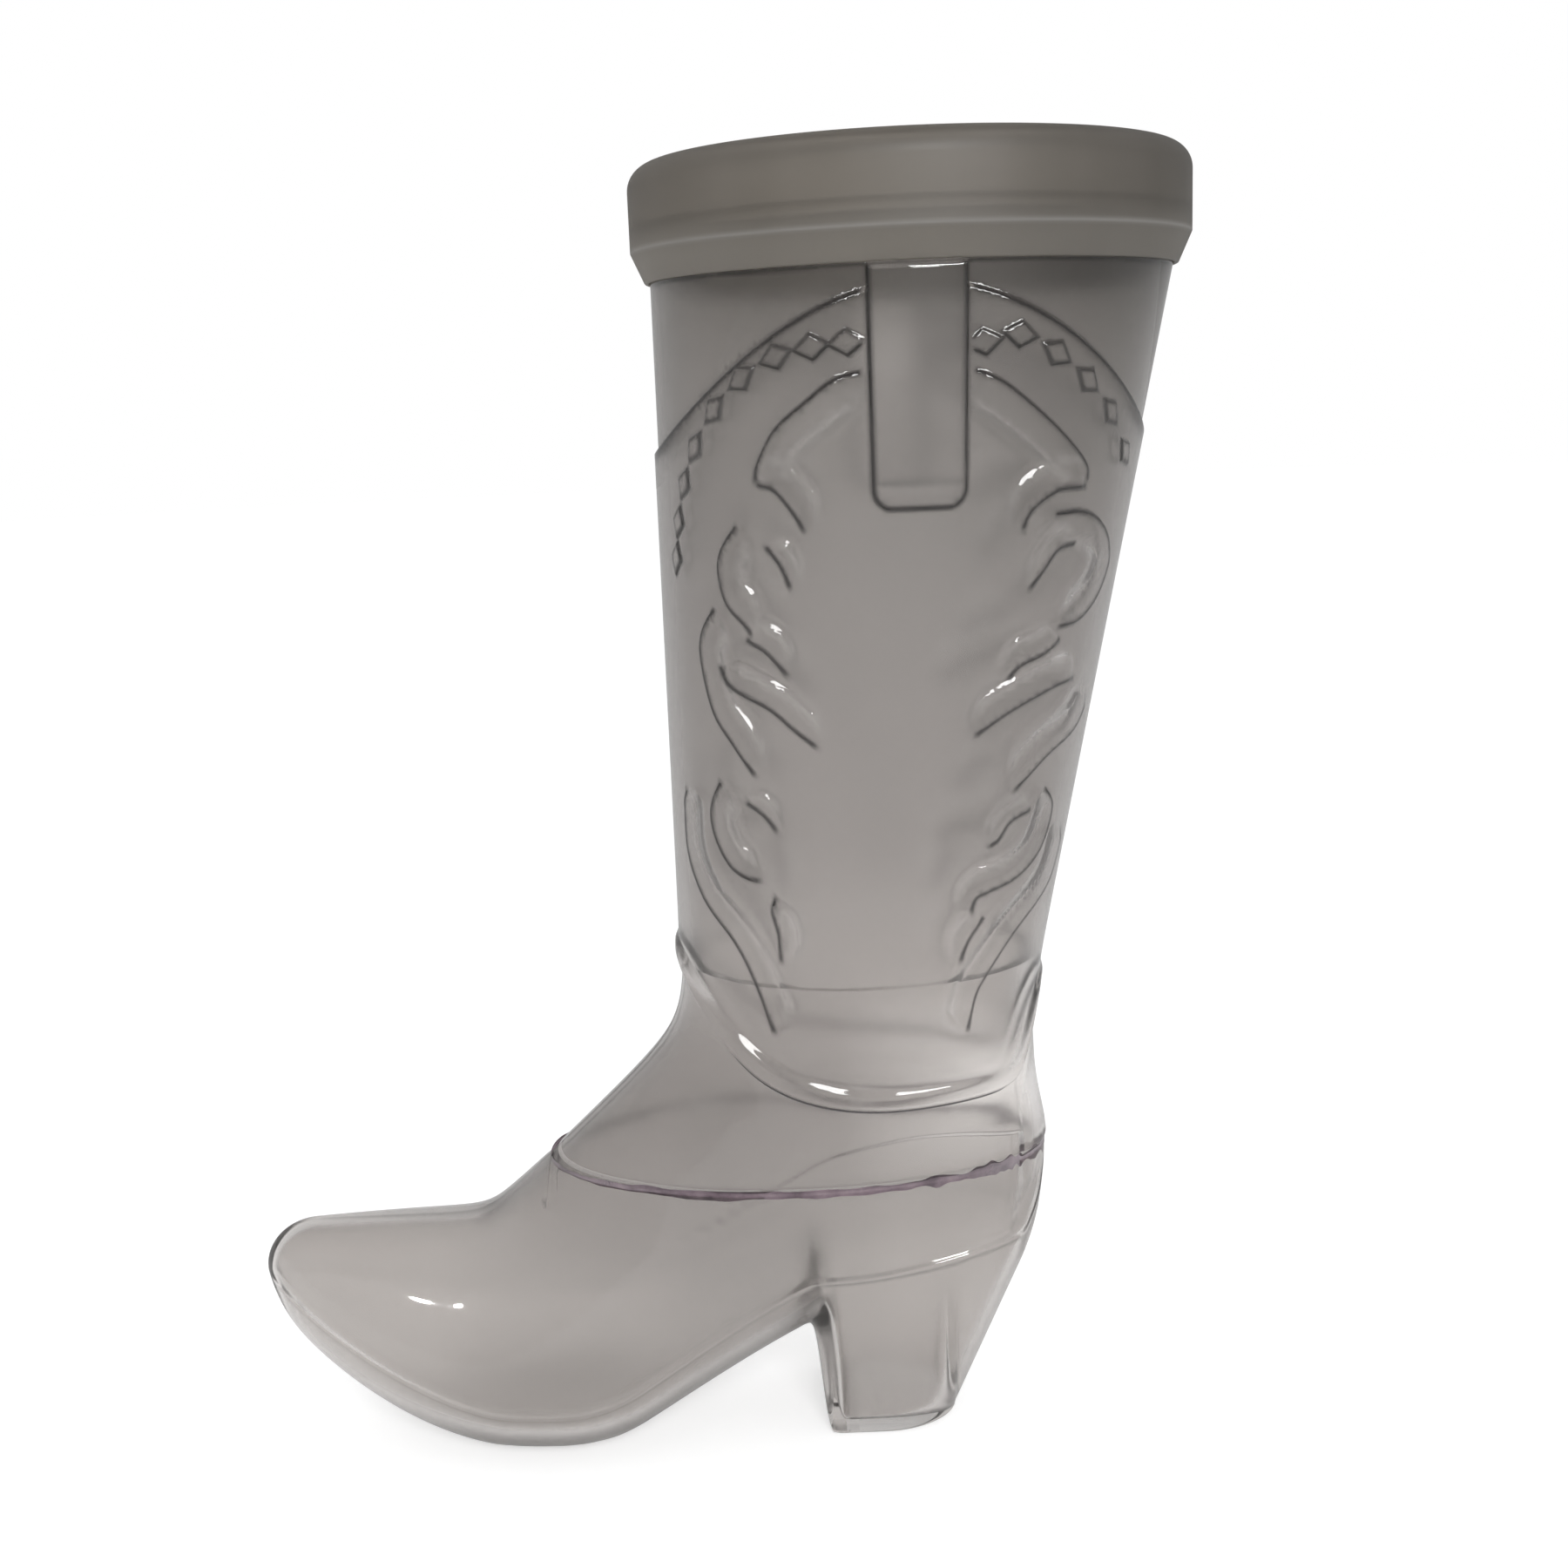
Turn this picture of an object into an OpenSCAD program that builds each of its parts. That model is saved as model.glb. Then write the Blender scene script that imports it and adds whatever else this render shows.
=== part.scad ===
// Clear plastic drinking cup in the shape of a western boot.
// Frame: origin at the middle of the heel's bottom face, +Z up, toe towards -X, sides at +Y and -Y.

/* [Rim band] */
// Height of the groove under the rim band
groove_z = 178; // [170:0.5:186]
// Outside radius of the leg where it enters the rim band
leg_top_r = 37.6; // [35.5:0.1:39]
// Height of the band from the groove to the lip
band_h = 16.3; // [14:0.1:18.5]
// Thickness of the band's wall
band_wall = 2.5; // [1.8:0.1:3]
// Height of the sloped shoulder at the band's foot
shoulder_h = 4.3; // [3:0.1:5.5]
// Width of the shoulder's lower edge, beside the leg
shoulder_edge = 0.6; // [0.4:0.1:1]
// Outside radius of the rounded lip
lip_r = 3.6; // [3.2:0.1:5]
// Depth of the slot that takes the top of the leg
slot_depth = 6; // [4.5:0.5:7]
// Thickness of the band's inner flange beside the slot
flange_wall = 1.5; // [1.2:0.1:2]
// Gap on each side of the leg in its slot
slot_fit = 0.15; // [0.1:0.05:0.3]

/* [Leg] */
// Front line of the leg, from the middle of the heel
leg_front_x = -31; // [-33:0.5:-29]
// Back line of the boot under the leg
ankle_back_x = 22.8; // [21:0.2:24]
// Height at which the leg's back line starts to lean out
ankle_z = 70; // [66:0.5:74]
// Half width of the boot at the ankle
ankle_half_w = 20.5; // [19.5:0.1:22]
// Height at which the leg's sides start to lean out
side_bend_z = 61; // [58:0.5:66]
// Thickness of the leg's wall above its raised panel
leg_wall = 1.4; // [1.2:0.1:1.8]

/* [Raised panel and pull straps] */
// Height of the raised panel over the leg
panel_rise = 0.6; // [0.4:0.1:0.8]
// Top of the panel's arch at the sides
arch_side_z = 175.5; // [173:0.5:176]
// Foot of the panel's arch at the front and back
arch_end_z = 154; // [150:0.5:160]
// Hem of the leg at the sides
hem_side_z = 57.5; // [56:0.5:60]
// Hem of the leg at the front
hem_front_z = 77.5; // [74:0.5:79]
// Hem of the leg at the back
hem_back_z = 71; // [68:0.5:74]
// Middle of each pull strap, from the middle of the heel
strap_x = 4.9; // [2:0.1:7]
// Width of a pull strap at its top
strap_w = 12.8; // [11:0.1:15]
// Lower end of the pull straps
strap_low_z = 146.5; // [138:0.5:152]
// Height of a pull strap over the leg
strap_rise = 1.2; // [0.9:0.1:1.5]

/* [Foot] */
// Thickness of the foot's walls
foot_wall = 1.8; // [1.5:0.1:2.2]
// Height of the seam between the foot's upper and its base
seam_z = 45; // [43:0.5:47]
// Height at which the instep leaves the leg's front line
instep_z = 65.8; // [64:0.2:68]
// Forward run of the instep for each millimetre of drop
instep_run = 1.087; // [1:0.01:1.15]
// Outward swell of the counter at the back
counter_swell = 2; // [1:0.1:3]
// Top of the upper's spigot inside the leg
spigot_top_z = 81; // [79.5:0.5:85]
// Thickness of the spigot
spigot_wall = 1.2; // [1:0.1:1.6]
// Gap between the spigot and the leg
spigot_fit = 0.2; // [0.15:0.05:0.3]
// Depth of the upper's tongue inside the base
tongue_h = 2; // [1.5:0.1:2.5]
// Thickness of the tongue
tongue_wall = 1.2; // [1:0.1:1.6]
// Gap between the tongue and the base
tongue_fit = 0.3; // [0.25:0.05:0.4]
// Tip of the toe, from the middle of the heel
toe_x = -100.5; // [-106:0.5:-96]
// Height of the toe's tip
toe_z = 27; // [24:0.5:29]
// Height of the sole's spring under the toe's tip
toe_spring = 21; // [18:0.5:23]
// Height of the toe's flat top
toe_top_z = 35; // [33.5:0.5:37]
// Length of the rounding at the toe's tip
toe_nose = 8; // [6:0.5:10]
// Front end of the sole's flat tread
tread_front_x = -59; // [-61:0.5:-56]
// Back end of the sole's flat tread
tread_back_x = -45; // [-48:0.5:-43]
// Half width of the foot at the ball
ball_half_w = 22; // [20.5:0.1:23.5]
// Half width of the foot at the waist
waist_half_w = 16.5; // [15.5:0.1:17.5]
// Rise of the arch for each millimetre towards the heel
arch_rise = 0.56; // [0.54:0.01:0.62]
// Height of the sole's rounded edge
sole_h = 11; // [10:0.1:12]

/* [Heel] */
// Front face of the heel, from the middle of its bottom
breast_x = -12; // [-13:0.5:-11]
// Back end of the heel's bottom
heel_back_x = 9.4; // [8.5:0.1:10.5]
// Half width of the heel's bottom
heel_half_w = 11.5; // [10.5:0.1:12.5]
// Height of the heel's seat at the breast
seat_z = 29; // [28:0.5:31]
// Thickness of the heel's and the sole's bottom
floor_wall = 2.2; // [1.8:0.1:2.6]
// Radius at the heel's lower edge
heel_edge_r = 1.2; // [0.8:0.1:1.6]

/* [Bonds] */
// Thickness of the adhesive at the seams
bond = 0.4; // [0.3:0.05:0.6]
// How far the adhesive stands out of the foot's seam
bond_proud = 0.2; // [0.1:0.05:0.3]

/* [Hidden] */
$fn = 96;
clear_grey = [0.72, 0.7, 0.68, 0.55];
smoke_grey = [0.5, 0.49, 0.47, 0.7];
bond_mauve = [0.55, 0.46, 0.53, 0.8];

// Bend radii and shape powers of the boot's outlines
instep_bend = 3.3;
back_bend = 3;
side_bend = 5;
arch_bend = 6;
toe_bend = 1.5;
counter_z = 45;
counter_reach = 9;
hem_front_power = 3;
hem_back_power = 9;
panel_arch_power = 1.9;
edge_step = 0.3;
ring_step = 5;
strap_edge_angle = 0.5;

// Rim band sizes that follow from the leg
slot_r_out = leg_top_r + slot_fit;
slot_r_in = leg_top_r - leg_wall - slot_fit;
band_r = slot_r_out + band_wall;
rim_x = leg_front_x + leg_top_r;
leg_top_z = groove_z + slot_depth;
slot_top_z = leg_top_z + bond;
ledge_z = slot_top_z + flange_wall;
lip_z = groove_z + band_h;

function lerp(a, b, t) = a + (b - a) * t;
function smooth(t) = let(u = min(max(t, 0), 1)) u * u * (3 - 2 * u);
// A bend from 0 to the straight line u, rounded over a length r
function bend(u, r) = u > 20 * r ? u : r * ln(1 + exp(u / r));
// The same, but exactly 0 before -r and exactly straight after r
function fillet(u, r) = u < -r ? 0 : u > r ? u : (u + r) * (u + r) / (4 * r);

// Outline of the leg and the foot's upper at height z
function front_x(z) = leg_front_x - instep_run * bend(instep_z - z, instep_bend);
function swell(z) = counter_swell * exp(-pow((z - counter_z) / counter_reach, 2));
back_lean = (rim_x + leg_top_r - ankle_back_x) / (groove_z - ankle_z);
function back_x(z) = ankle_back_x + back_lean * bend(z - ankle_z, back_bend) + swell(z);
side_lean = (leg_top_r - ankle_half_w) / (groove_z - side_bend_z);
function half_w(z) = ankle_half_w + side_lean * bend(z - side_bend_z, side_bend);
function mid_x(z) = (front_x(z) + back_x(z)) / 2;
function half_l(z) = (back_x(z) - front_x(z)) / 2;

// A point of that skin: angle t is 0 at the back, 180 at the toe, and inset is measured inwards
function skin(t, z, inset = 0) =
    let(h = min(z, groove_z))
    [mid_x(h) + (half_l(h) - inset) * cos(t), (half_w(h) - inset) * sin(t), z];

// Columns lean so that the pull straps stand upright while the leg's middle drifts
function lean(t, z) =
    let(h = min(z, groove_z))
    t - asin((strap_x - mid_x(h)) / half_l(h)) * sin(t) * abs(sin(t));
function leg_skin(t, z, inset) = skin(lean(t, z), z, inset);

function hem_z(t) =
    let(c = cos(t))
    c < 0 ? lerp(hem_side_z, hem_front_z, pow(-c, hem_front_power))
          : lerp(hem_side_z, hem_back_z, pow(c, hem_back_power));
function panel_top_z(t) = lerp(arch_side_z, arch_end_z, pow(abs(cos(t)), panel_arch_power));

// Ring columns: even steps with four extra ones at the edges of each strap
strap_angle = asin(strap_w / 2 / leg_top_r);
function by_size(v) =
    len(v) < 2 ? v :
    let(p = v[floor(len(v) / 2)])
    concat(by_size([for (a = v) if (a < p) a]), [p], by_size([for (a = v) if (a > p) a]));
strap_edges = [
    for (mid = [90, 270], side = [-1, 1], step = [0, 1])
        mid + side * (strap_angle + step * strap_edge_angle)
];
function clear_of_straps(t) = min([for (e = strap_edges) abs(t - e)]) > ring_step / 3;
even_columns = [for (t = [0 : ring_step : 360 - ring_step]) if (clear_of_straps(t)) t];
columns = by_size(concat(even_columns, strap_edges));
function on_strap(t) =
    min(abs(t - 90), abs(t - 270)) < strap_angle + strap_edge_angle / 2;

// A closed solid from rings of points: each ring joins the next one, and the last joins the first.
// With other_diagonal, its faces split like those of a neighbour that runs the other way.
module ring_solid(rings, other_diagonal = false) {
    n = len(rings[0]);
    m = len(rings);
    function id(i, j) = (i % m) * n + j % n;
    polyhedron(
        points = [for (r = rings) each r],
        faces = [
            for (i = [0 : m - 1], j = [0 : n - 1])
                let(a = id(i, j), b = id(i + 1, j), c = id(i + 1, j + 1), d = id(i, j + 1))
                each other_diagonal ? [[a, b, d], [b, c, d]] : [[a, b, c], [a, c, d]]
        ],
        convexity = 6
    );
}

// Points of an arc in the band's section
function arc(r, z, radius, from, to, steps = 8) = [
    for (i = [0 : steps])
        let(a = lerp(from, to, i / steps))
        [r + radius * cos(a), z + radius * sin(a)]
];

// Rim band: rounded lip, upright wall, sloped shoulder, and a slot for the leg's top edge
module rim_band() {
    lip_mid_r = band_r - lip_r;
    lip_mid_z = lip_z - lip_r;
    nose_r = band_wall / 2;
    section = concat(
        [[slot_r_out, groove_z], [slot_r_out + shoulder_edge, groove_z], [band_r, groove_z + shoulder_h]],
        arc(lip_mid_r, lip_mid_z, lip_r, 0, 90),
        arc(lip_mid_r, lip_z - nose_r, nose_r, 90, 270),
        arc(lip_mid_r, lip_mid_z, lip_r - band_wall, 90, 0),
        [[band_r - band_wall, ledge_z], [slot_r_in - flange_wall, ledge_z], [slot_r_in - flange_wall, groove_z]],
        [[slot_r_in, groove_z], [slot_r_in, slot_top_z], [slot_r_out, slot_top_z]]
    );
    color(smoke_grey)
        translate([rim_x, 0, 0])
            rotate_extrude()
                polygon(section);
}

// Adhesive ring between the top of the leg and the end of its slot
module rim_bond() {
    color(bond_mauve)
        translate([rim_x, 0, leg_top_z])
            rotate_extrude()
                translate([leg_top_r - leg_wall, 0])
                    square([leg_wall, bond]);
}

// Leg: a tapered sleeve with its hem over the foot, a raised scalloped panel and a strap on each side
module leg_shell() {
    function rise(t, over_strap, over_panel) =
        over_strap && on_strap(t) ? strap_rise : over_panel ? panel_rise : 0;
    // Height of a panel row, with rows at the strap's lower edge where they cross it
    strap_row = (strap_low_z - hem_side_z) / (arch_side_z - hem_side_z);
    step_row = edge_step / (arch_side_z - hem_side_z);
    panel_rows = [0, 0.12, 0.24, 0.36, 0.48, 0.6, strap_row - step_row, strap_row, 0.84, 0.92, 1];
    function row_z(t, f) = lerp(hem_z(t), panel_top_z(t), f);
    outer = concat(
        [for (f = panel_rows) [for (t = columns) leg_skin(t, row_z(t, f), -rise(t, f >= strap_row, true))]],
        [[for (t = columns) leg_skin(t, panel_top_z(t) + edge_step, -rise(t, true, false))]],
        [[for (t = columns) leg_skin(t, groove_z - edge_step, -rise(t, true, false))]],
        [for (z = [groove_z, leg_top_z]) [for (t = columns) leg_skin(t, z, 0)]]
    );
    inner = concat(
        [for (z = [leg_top_z, groove_z]) [for (t = columns) leg_skin(t, z, leg_wall)]],
        [for (f = [1, 0.84, 0.6, 0.36, 0.12, 0]) [for (t = columns) leg_skin(t, row_z(t, f), leg_wall)]]
    );
    color(clear_grey) ring_solid(concat(outer, inner));
}

// Adhesive bead under the leg's hem
module ankle_bond() {
    function bead(under, inset) = [for (t = columns) leg_skin(t, hem_z(t) - under, inset)];
    color(bond_mauve) ring_solid([bead(bond, 0), bead(0, 0), bead(0, leg_wall), bead(bond, leg_wall)], true);
}

// Foot's upper: instep and counter, with a spigot up into the leg and a tongue down into the base
module foot_upper() {
    low_z = seam_z + bond / 2;
    spigot_out = leg_wall + spigot_fit;
    spigot_in = spigot_out + spigot_wall;
    tongue_out = foot_wall + tongue_fit;
    tongue_in = tongue_out + tongue_wall;
    shoulder_run = 3;
    function wall_ring(f, inset, under = bond) =
        [for (t = columns) leg_skin(t, lerp(low_z, hem_z(t) - under, f), inset)];
    function spigot_ring(f, inset) =
        [for (t = columns) leg_skin(t, lerp(hem_z(t) - bond, spigot_top_z, f), inset)];
    function seam_ring(z, inset) =
        [for (t = columns) let(p = skin(lean(t, low_z), low_z, inset)) [p.x, p.y, z]];
    rings = concat(
        [for (f = [0 : 0.125 : 1]) wall_ring(f, 0)],
        [for (f = [0, 0.5, 1]) spigot_ring(f, spigot_out)],
        [for (f = [1, 0.5, 0]) spigot_ring(f, spigot_in)],
        [wall_ring(1, foot_wall, bond + shoulder_run)],
        [for (f = [0.75, 0.5, 0.35]) wall_ring(f, foot_wall)],
        [wall_ring(0.2, tongue_in)],
        [seam_ring(low_z, tongue_in), seam_ring(seam_z - tongue_h, tongue_in)],
        [seam_ring(seam_z - tongue_h, tongue_out), seam_ring(low_z, tongue_out)]
    );
    color(clear_grey) ring_solid(rings);
}

// Adhesive bead in the seam between the foot's upper and its base
module foot_bond() {
    function bead(side, inset) =
        [for (t = columns) let(p = skin(lean(t, seam_z), seam_z, inset)) [p.x, p.y, seam_z + side * bond / 2]];
    color(bond_mauve) ring_solid([bead(-1, -bond_proud), bead(1, -bond_proud), bead(1, foot_wall), bead(-1, foot_wall)]);
}

// Outline of the foot's base at length x. Each function takes the inset of the surface that it describes.
seam_mid_x = mid_x(seam_z);
seam_half_l = half_l(seam_z);
seam_half_w = half_w(seam_z);
toe_spring_power = 1.9;
toe_end_power = 20;
welt_rise_power = 1.3;
toe_plan_power = 1.8;
toe_plan_round = 0.75;
breast_run = 1.2;
waist_x = -18;
seat_mid_x = 2;
seat_share = 0.9;
seat_lean = 0.1;
heel_round_x = -2;
back_steepness = 20;
sole_flat_share = 0.2;
welt_share = 0.35;

function toe_part(x, inset) = (tread_front_x - x) / (tread_front_x - toe_x - inset);
function seam_y(x, inset) =
    let(u = (x - seam_mid_x) / (seam_half_l - inset))
    (seam_half_w - inset) * sqrt(max(0, 1 - u * u));
function heel_part(x, inset) = smooth((x - breast_x - inset + breast_run) / (2 * breast_run));
function arch_z(x) = arch_rise * fillet(x - tread_back_x, arch_bend);

// Lower profile: toe spring, flat tread, arch, heel breast, heel bottom and the heel's leaning back
function heel_back_z(x, inset) =
    let(back = seam_mid_x + seam_half_l - inset, u = (x - heel_back_x + inset) / (back - heel_back_x + inset))
    u <= 0 ? 0 : lerp(u * heel_slope * (back - heel_back_x + inset), seam_z, pow(u, back_steepness));
heel_slope = (seat_z + welt_share * (seam_z - seat_z)) / (seam_mid_x + seam_half_l - heel_back_x);
function toe_sole_z(u, floor) =
    floor * (1 - u) + toe_spring * pow(u, toe_spring_power) + (toe_z - toe_spring) * pow(u, toe_end_power);
function sole_z(x, inset, floor) =
    x < tread_front_x ? toe_sole_z(toe_part(x, inset), floor) :
    max(floor + arch_z(x) * (1 - heel_part(x, inset)), heel_back_z(x, inset));

// Upper profile of the toe, which runs into the instep
function crown_z(x, inset) =
    let(instep = instep_z - (leg_front_x - x + inset) / instep_run,
        top = toe_top_z - inset + bend(instep - toe_top_z + inset, toe_bend),
        u = (toe_x + toe_nose - x) / (toe_nose - inset))
    u > 0 ? lerp(toe_z, top, sqrt(max(0, 1 - u * u))) : top;

// Half width at the welt, where the side wall turns under into the sole
function welt_y(x, inset) =
    let(u = (ball_x - x) / (ball_x - toe_x - inset))
    x < ball_x ? (ball_half_w - inset) * pow(max(0, 1 - pow(u, toe_plan_power)), toe_plan_round) :
    x < waist_x ? lerp(ball_half_w, waist_half_w, smooth((x - ball_x) / (waist_x - ball_x))) - inset :
    lerp(waist_half_w - inset, seat_share * seam_y(x, inset), smooth((x - waist_x) / (seat_mid_x - waist_x)));
ball_x = (tread_front_x + tread_back_x) / 2;

// Height of the welt
function welt_z(x, inset, floor) =
    let(low = sole_z(x, inset, floor),
        side = min(arch_z(x) + sole_h, seat_z + seat_lean * (x - breast_x)))
    x < tread_front_x ? lerp(side, toe_z, pow(toe_part(x, inset), welt_rise_power)) :
    x < heel_round_x ? side : max(side, low + welt_share * (seam_z - low));

// Half width of the flat bottom
function flat_y(x, inset) =
    let(u = max(0, (x - heel_round_x) / (heel_back_x - inset - heel_round_x)))
    lerp(sole_flat_share * welt_y(x, inset),
         max(heel_edge_r / 4, (heel_half_w - heel_edge_r - inset) * sqrt(max(0, 1 - u * u))),
         heel_part(x, inset));

// Direction, outwards and down, in which the upper's skin meets the seam at length x
function skin_y(x, z, inset) =
    let(u = (x - mid_x(z)) / (half_l(z) - inset))
    (half_w(z) - inset) * sqrt(max(0, 1 - u * u));
function seam_tangent(x, inset) =
    let(out = max(0, (skin_y(x, seam_z - bond, inset) - skin_y(x, seam_z, inset)) / bond))
    [out, 1] / norm([out, 1]);

// Cubic curve through four control points
function bezier(p, t) =
    let(s = 1 - t)
    s * s * s * p[0] + 3 * s * s * t * p[1] + 3 * s * t * t * p[2] + t * t * t * p[3];

// Half section at length x, from its top edge to the middle of its bottom
arc_handle = 0.5523;
least_spread = 0.3;
least_part = 0.01;
upper_steps = 6;
lower_steps = 7;
function half_section(x, inset, floor) =
    let(open = x > seam_mid_x - seam_half_l + inset,
        top_y = open ? seam_y(x, inset) : 0,
        top_z = open ? seam_z - bond / 2 : min(crown_z(x, inset), seam_z - bond / 2),
        w = welt_y(x, inset),
        low_z = sole_z(x, inset, floor),
        mid_z = min(max(welt_z(x, inset, floor), low_z), top_z),
        flat = flat_y(x, inset),
        straight = heel_part(x, inset) * (1 - smooth((x - heel_round_x) / (heel_back_x - heel_round_x))),
        drop = top_z - mid_z,
        start = open ? seam_tangent(x, inset) : [1, 0],
        spread = max(abs(w - top_y), drop * least_spread),
        reach = arc_handle * min(spread / max(start.x, least_part), drop / max(start.y, least_part)),
        upper = [[top_y, top_z], [top_y, top_z] + reach * [start.x, -start.y], [w, mid_z + arc_handle * drop], [w, mid_z]])
    concat(
        [for (i = [0 : upper_steps]) bezier(upper, i / upper_steps)],
        [for (i = [1 : lower_steps])
            let(t = i / lower_steps,
                round_y = lerp(flat, w, cos(90 * t)),
                round_z = lerp(mid_z, low_z, sin(90 * t)),
                s = min(1, t * lower_steps / (lower_steps - 2)),
                edge = max(0, t * lower_steps - (lower_steps - 2)) / 2,
                wall_y = lerp(w, flat + heel_edge_r, s) - heel_edge_r * (1 - cos(90 * edge)),
                wall_z = lerp(mid_z, low_z + heel_edge_r, s) - heel_edge_r * sin(90 * edge))
            [lerp(round_y, wall_y, straight), lerp(round_z, wall_z, straight)]],
        [[0, low_z]]
    );

// Stations along the base: toe tip, closed toe sections, open sections to the back, with extra ones at the breast
toe_steps = 12;
station_step = 6;
function stations(inset) =
    let(tip = toe_x + inset,
        seam_front = seam_mid_x - seam_half_l + inset,
        half_l = seam_half_l - inset,
        at_breast = [for (s = [-1, -0.6, -0.2, 0.2, 0.6, 1]) breast_x + inset + s * breast_run],
        open = [for (t = [180 - station_step : -station_step : station_step]) seam_mid_x + half_l * cos(t)])
    concat(
        [for (i = [0 : toe_steps]) lerp(tip, seam_front, 1 - cos(90 * i / toe_steps))],
        [for (x = open) if (x < at_breast[0] - breast_run) x],
        at_breast,
        [for (x = open) if (x > at_breast[5] + breast_run) x],
        [seam_mid_x + half_l]
    );

// Foot's base: toe, sole and hollow heel as one tray, open at the seam
module foot_base() {
    outer_x = stations(0);
    inner_x = stations(foot_wall);
    last = len(outer_x) - 1;
    half_n = upper_steps + lower_steps + 2;
    n = 2 * half_n - 1;
    function whole(x, inset, floor) =
        let(half = half_section(x, inset, floor))
        [for (j = [0 : n - 1])
            let(p = half[j < half_n ? j : n - 1 - j]) [x, j < half_n ? -p.x : p.x, p.y]];
    outer = [for (x = outer_x) each whole(x, 0, 0)];
    inner = [for (x = inner_x) each whole(x, foot_wall, floor_wall)];
    // The two ends are single points, and closed toe sections share their top point
    function id(i, j) =
        i == 0 || i == last ? i * n : i * n + (i <= toe_steps && j == n - 1 ? 0 : j);
    function quad(a, b, c, d) = [for (f = [[a, b, c], [a, c, d]]) if (f[0] != f[1] && f[1] != f[2] && f[2] != f[0]) f];
    base = len(outer);
    function flip(f) = [f[2] + base, f[1] + base, f[0] + base];
    shell = [
        for (i = [0 : last - 1], j = [0 : n - 2])
            each quad(id(i, j), id(i + 1, j), id(i + 1, j + 1), id(i, j + 1))
    ];
    rim = [
        for (i = [toe_steps : last - 1], j = [0, n - 1])
            let(a = id(i, j), b = id(i + 1, j))
            each j == 0 ? quad(b, a, a + base, b + base) : quad(a, b, b + base, a + base)
    ];
    color(clear_grey)
        polyhedron(points = concat(outer, inner), faces = concat(shell, [for (f = shell) flip(f)], rim), convexity = 8);
}

rim_band();
rim_bond();
leg_shell();
ankle_bond();
foot_upper();
foot_bond();
foot_base();
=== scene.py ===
import math

import bmesh
import bpy
import numpy as np
from mathutils import Euler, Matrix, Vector


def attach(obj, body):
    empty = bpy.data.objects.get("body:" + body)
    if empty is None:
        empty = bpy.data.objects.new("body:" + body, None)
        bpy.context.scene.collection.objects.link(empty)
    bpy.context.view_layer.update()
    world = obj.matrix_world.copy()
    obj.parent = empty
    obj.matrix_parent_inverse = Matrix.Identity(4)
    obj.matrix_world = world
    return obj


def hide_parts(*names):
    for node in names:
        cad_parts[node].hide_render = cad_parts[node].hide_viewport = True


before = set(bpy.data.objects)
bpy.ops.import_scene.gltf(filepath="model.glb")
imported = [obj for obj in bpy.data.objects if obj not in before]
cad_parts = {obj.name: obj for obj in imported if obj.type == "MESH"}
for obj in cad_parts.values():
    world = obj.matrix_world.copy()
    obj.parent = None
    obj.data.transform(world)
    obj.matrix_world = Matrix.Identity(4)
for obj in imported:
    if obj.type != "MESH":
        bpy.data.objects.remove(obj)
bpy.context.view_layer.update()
print("frame loaded:", ", ".join(sorted(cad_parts)))

mm = 0.001
scene = bpy.context.scene
scene.view_settings.view_transform = "Standard"
scene.cycles.max_bounces = 24  # light crosses many walls of clear plastic
scene.cycles.transmission_bounces = 24
scene.cycles.glossy_bounces = 8


# Small maths shared by the pieces, in millimetres and radians
def smooth(t):
    u = np.clip(t, 0.0, 1.0)
    return u * u * (3 - 2 * u)


def rise(low, high, x):
    return smooth((x - low) / (high - low))


def blend(a, b, t):
    return a + (b - a) * t


def bend(u, r):
    u = np.asarray(u, float)
    return np.where(u > 20 * r, u, r * np.log1p(np.exp(np.minimum(u / r, 30))))


def fillet(u, r):
    u = np.asarray(u, float)
    return np.where(u < -r, 0.0, np.where(u > r, u, (u + r) ** 2 / (4 * r)))


def ripple(x, seed, waves=7):
    # slow uneven wave round a closed seam, the same on every run
    x = np.asarray(x, float)
    dice = np.random.default_rng(seed)
    total = np.zeros_like(x)
    for n in dice.integers(3, 60, waves):
        total += np.sin(n * x + dice.uniform(0, 2 * math.pi)) / math.sqrt(n)
    return total / np.abs(total).max()


def bell(x, w, power=2):
    return np.exp(-((x / w) ** power))


def turns(count):
    return np.linspace(0, 2 * math.pi, count, endpoint=False)


# Skin of the leg and the foot's upper
boot = {
    "grooveZ": 178.0,  # groove under the rim band
    "legTopR": 37.6,
    "legTopZ": 184.0,  # end of the leg inside the band
    "frontX": -31.0,
    "ankleBackX": 22.8,
    "ankleZ": 70.0,
    "ankleR": 3.0,  # softness of the bends at the ankle's back, its sides and the instep
    "ankleHalfW": 20.5,
    "sideBendZ": 61.0,
    "sideR": 5.0,
    "instepZ": 65.8,
    "instepR": 3.3,
    "instepRun": 1.087,
    "counterSwell": 2.0,
    "counterRun": 9.0,
    "counterZ": 45.0,
    "legWall": 1.4,
    "footWall": 1.8,
    "seamZ": 45.0,
    "bond": 0.4,
    "hemSideZ": 57.5,
    "hemFrontZ": 77.5,
    "hemBackZ": 71.0,
    "strapX": 4.9,
}
rimX = boot["frontX"] + boot["legTopR"]
backLean = (rimX + boot["legTopR"] - boot["ankleBackX"]) / (boot["grooveZ"] - boot["ankleZ"])
sideLean = (boot["legTopR"] - boot["ankleHalfW"]) / (boot["grooveZ"] - boot["sideBendZ"])


def frontX(z):
    return boot["frontX"] - boot["instepRun"] * bend(boot["instepZ"] - z, boot["instepR"])


def backX(z):
    swell = boot["counterSwell"] * bell(z - boot["counterZ"], boot["counterRun"])
    return boot["ankleBackX"] + backLean * bend(z - boot["ankleZ"], boot["ankleR"]) + swell


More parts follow.
